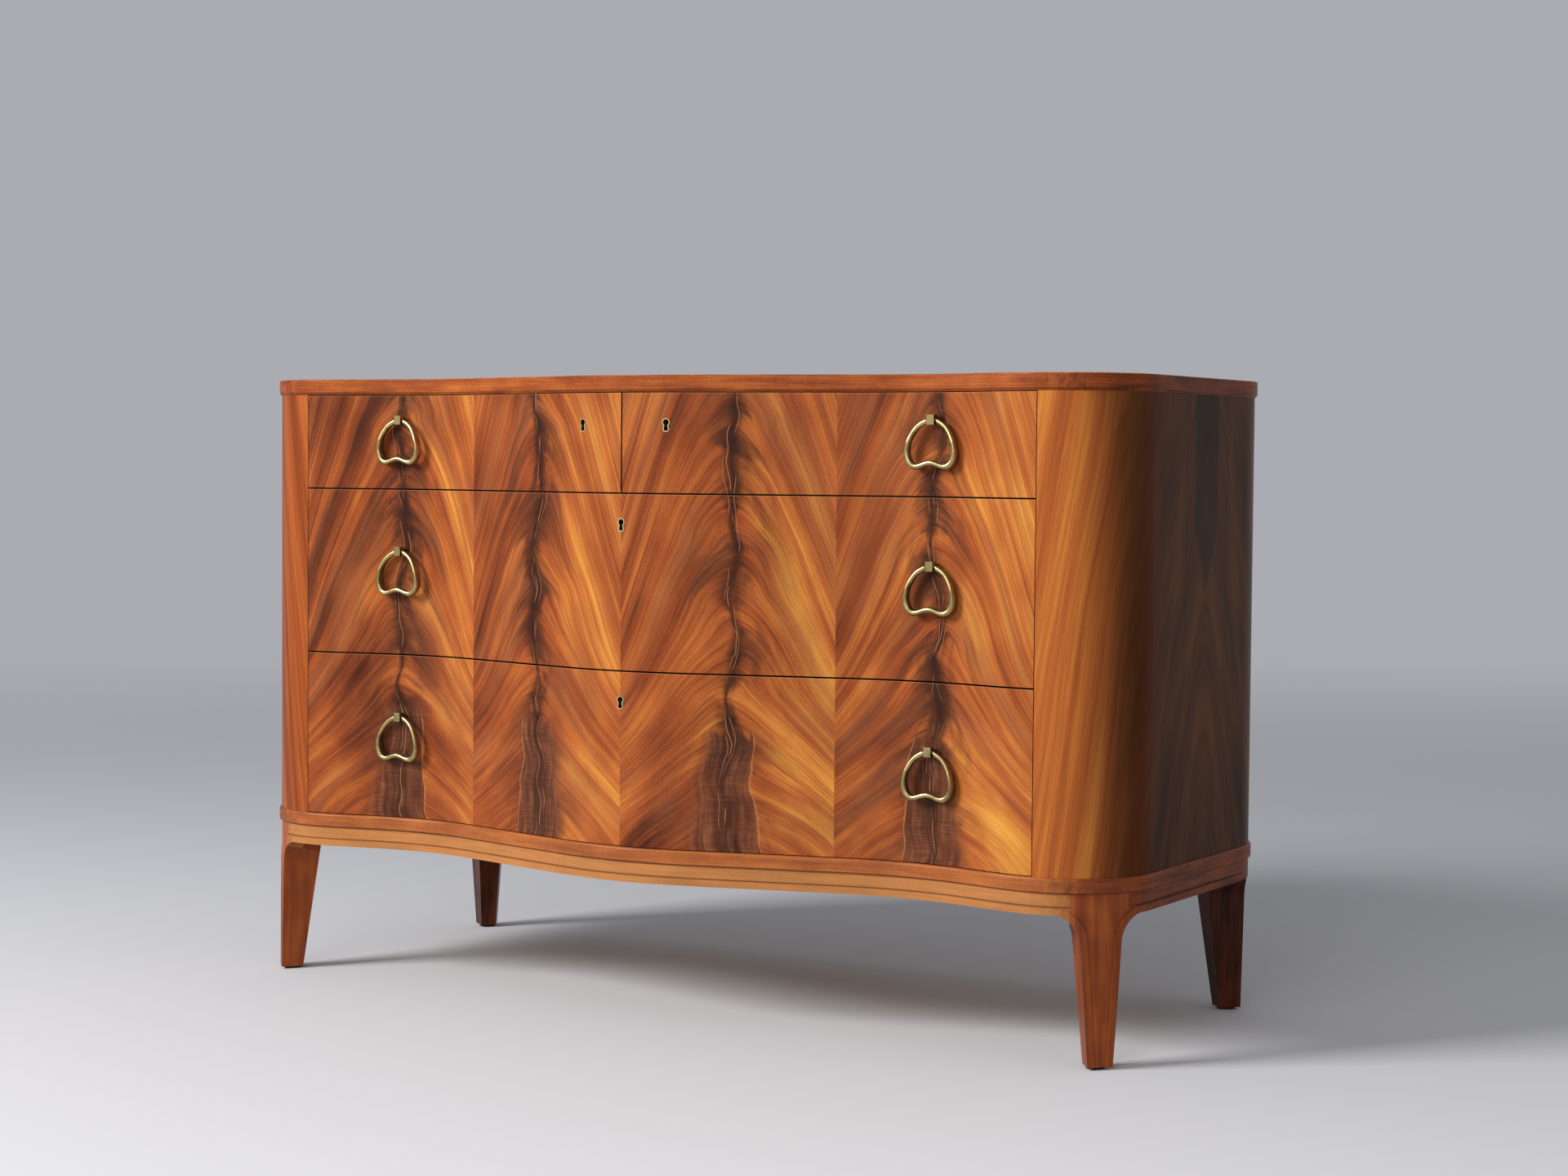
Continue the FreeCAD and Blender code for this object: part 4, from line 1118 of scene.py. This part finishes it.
    def build(self, dresser: Dresser) -> bpy.types.Object:
        """Makes the ring, hangs it on its body and hides the solid that it stands for.

        Args:
            dresser: Gives the brass.

        Returns:
            The ring.
        """
        points, faces = self.surface()
        pin_points, pin_faces = self.pins(len(points))
        points = np.vstack([points, pin_points]) * MM + self.hinge()
        made = new_mesh(f"{self.node}_cast", points, np.vstack([faces, pin_faces]),
                        dresser.finish("handle_brass"))
        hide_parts(self.node)
        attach(made, self.body)
        log.info("%s cast with %d points", self.node, len(points))
        return made


@dataclass(frozen=True)
class Lamp:
    """A square soft lamp.

    Attributes:
        name: Its name.
        place: Where it stands, in metres.
        aim: The point that it looks at.
        width: Its side in metres.
        watts: Its power.
    """

    name: str
    place: tuple[float, float, float]
    aim: tuple[float, float, float]
    width: float
    watts: float

    def hang(self) -> None:
        """Adds the lamp to the scene and turns it to its aim."""
        data = bpy.data.lights.new(self.name, "AREA")
        data.size = self.width
        data.energy = self.watts
        lamp = bpy.data.objects.new(self.name, data)
        lamp.location = self.place
        toward = Vector(self.aim) - Vector(self.place)
        lamp.rotation_euler = toward.to_track_quat("-Z", "Y").to_euler()
        bpy.context.scene.collection.objects.link(lamp)


@dataclass
class Studio:
    """Camera, lamps, floor and world.

    Attributes:
        yaw: How far the camera turns to the left, in radians.
        pitch: How far it looks down.
        roll: How far it leans.
        focal_pixels: Its focal length in pixels of the image.
        image_width: Width of the image in pixels.
        sensor: Width of its sensor in millimetres.
        eye: Where it stands, in metres.
        far_colour: Colour of the backdrop and of the floor far away.
        lit_pool_colour: Colour of the floor in the middle of its painted pool of light.
        lit_pool_centre: That middle, across and in depth, in millimetres.
        lit_pool_falloff: How fast the painted pool of light falls off, for each metre from there.
        fade: Metres from there over which it turns into the backdrop.
        floor_half: Half the floor's side in metres.
        sky: Colour of the even light.
        strength: How strong the even light is.
        lamps: The lamps.
    """

    yaw: float = 0.5389676
    pitch: float = 0.0438820
    roll: float = 0.0078842
    focal_pixels: float = 3506.880
    image_width: float = 1920.0
    sensor: float = 36.0
    eye: tuple[float, float, float] = (1.8860, -3.04985, 0.6651)
    far_colour: Colour = (0.408, 0.413, 0.442)
    # The floor's painted pool of light: its colour, its middle and its falloff.
    lit_pool_colour: Colour = (0.80, 0.79, 0.79)
    lit_pool_centre: tuple[float, float] = (1900.0, -1300.0)
    lit_pool_falloff: float = -0.36
    fade: tuple[float, float] = (2.5, 9.0)
    floor_half: float = 60.0
    sky: Colour = (0.93, 0.95, 1.0)
    strength: float = 0.42
    lamps: tuple[Lamp, ...] = (
        Lamp("key", (-2.8, -3.8, 2.9), (0.0, 0.0, 0.35), 1.7, 330.0),
        Lamp("fill", (0.9, -4.6, 2.2), (0.1, 0.0, 0.4), 2.4, 60.0))

    def make_camera(self) -> None:
        """Turns the solved yaw, pitch and roll into a camera."""
        ahead = Vector((-math.sin(self.yaw) * math.cos(self.pitch),
                        math.cos(self.yaw) * math.cos(self.pitch), -math.sin(self.pitch)))
        level = Vector((math.cos(self.yaw), math.sin(self.yaw), 0.0))
        above = level.cross(ahead)
        right = level * math.cos(self.roll) + above * math.sin(self.roll)
        up = above * math.cos(self.roll) - level * math.sin(self.roll)
        data = bpy.data.cameras.new("camera")
        data.sensor_width = self.sensor
        data.lens = self.focal_pixels * data.sensor_width / self.image_width
        camera = bpy.data.objects.new("camera", data)
        camera.matrix_world = Matrix((
            (right.x, up.x, -ahead.x, self.eye[0]), (right.y, up.y, -ahead.y, self.eye[1]),
            (right.z, up.z, -ahead.z, self.eye[2]), (0.0, 0.0, 0.0, 1.0)))
        bpy.context.scene.collection.objects.link(camera)
        bpy.context.scene.camera = camera

    def make_floor(self) -> None:
        """A pale floor that takes the shadow and fades into the backdrop far away.

        Its colour is a painted pool of light on the floor: it follows exp of the falloff times the distance from
        the pool's middle.
        """
        g = Graph("studio_floor")
        x, y, _ = g.position()
        # Painted pool of light: the floor is made paler round one place and darker away from it, standing for the
        # lamps' light falling off.
        across, depth = self.lit_pool_centre
        reach = ((x - across) ** 2.0 + (y - depth) ** 2.0).root() / PER_METRE
        near = g.sum("EXPONENT", reach * self.lit_pool_falloff)
        colour = g.ramp(near, ((0.0, self.far_colour), (1.0, self.lit_pool_colour)))
        g.polish(colour, MATT_FLOOR)
        glow = g.tree.nodes.new("ShaderNodeEmission")
        glow.inputs["Color"].default_value = (*self.far_colour, 1.0)
        mixed = g.tree.nodes.new("ShaderNodeMixShader")
        g.feed(mixed.inputs[0], reach.step(*self.fade))
        g.tree.links.new(g.shader.outputs[0], mixed.inputs[1])
        g.tree.links.new(glow.outputs[0], mixed.inputs[2])
        output = [n for n in g.tree.nodes if n.type == "OUTPUT_MATERIAL"][0]
        g.tree.links.new(mixed.outputs[0], output.inputs["Surface"])
        corners = np.array([(-1, -1, 0), (1, -1, 0), (1, 1, 0), (-1, 1, 0)]) * self.floor_half
        floor = new_mesh("studio_floor", corners, np.array([[0, 1, 2, 3]]), g.material)

    def make_world(self) -> None:
        """A plain backdrop for the camera, gloss and glass; soft even light for all else."""
        world = bpy.data.worlds.new("studio")
        bpy.context.scene.world = world
        world.use_nodes = True
        tree = world.node_tree
        tree.nodes.clear()
        rays = tree.nodes.new("ShaderNodeLightPath")
        even = tree.nodes.new("ShaderNodeBackground")
        even.inputs["Color"].default_value = (*self.sky, 1.0)
        even.inputs["Strength"].default_value = self.strength
        shown = tree.nodes.new("ShaderNodeBackground")
        shown.inputs["Color"].default_value = (*self.far_colour, 1.0)
        mixed = tree.nodes.new("ShaderNodeMixShader")
        output = tree.nodes.new("ShaderNodeOutputWorld")
        seen = rays.outputs["Is Camera Ray"]
        for kind in ("Is Glossy Ray", "Is Transmission Ray"):
            either = tree.nodes.new("ShaderNodeMath")
            either.operation = "MAXIMUM"
            tree.links.new(seen, either.inputs[0])
            tree.links.new(rays.outputs[kind], either.inputs[1])
            seen = either.outputs[0]
        tree.links.new(seen, mixed.inputs[0])
        tree.links.new(even.outputs[0], mixed.inputs[1])
        tree.links.new(shown.outputs[0], mixed.inputs[2])
        tree.links.new(mixed.outputs[0], output.inputs[0])

    def build(self) -> None:
        """Sets the whole studio."""
        self.make_camera()
        self.make_floor()
        self.make_world()
        for lamp in self.lamps:
            lamp.hang()
        bpy.context.scene.view_settings.view_transform = "Standard"


def main() -> None:
    """Builds the studio, dresses the solids and adds the cast rings."""
    logging.basicConfig(level=logging.INFO, format="%(message)s")
    Studio().build()
    dresser = Dresser()
    dresser.dress_all()
    bodies = frame["record"]["behaviour"]["bodies"]
    for body in sorted(bodies):
        if body.endswith("_ring"):
            RingPull(node=body, body=body).build(dresser)


if __name__ == "__main__":
    main()
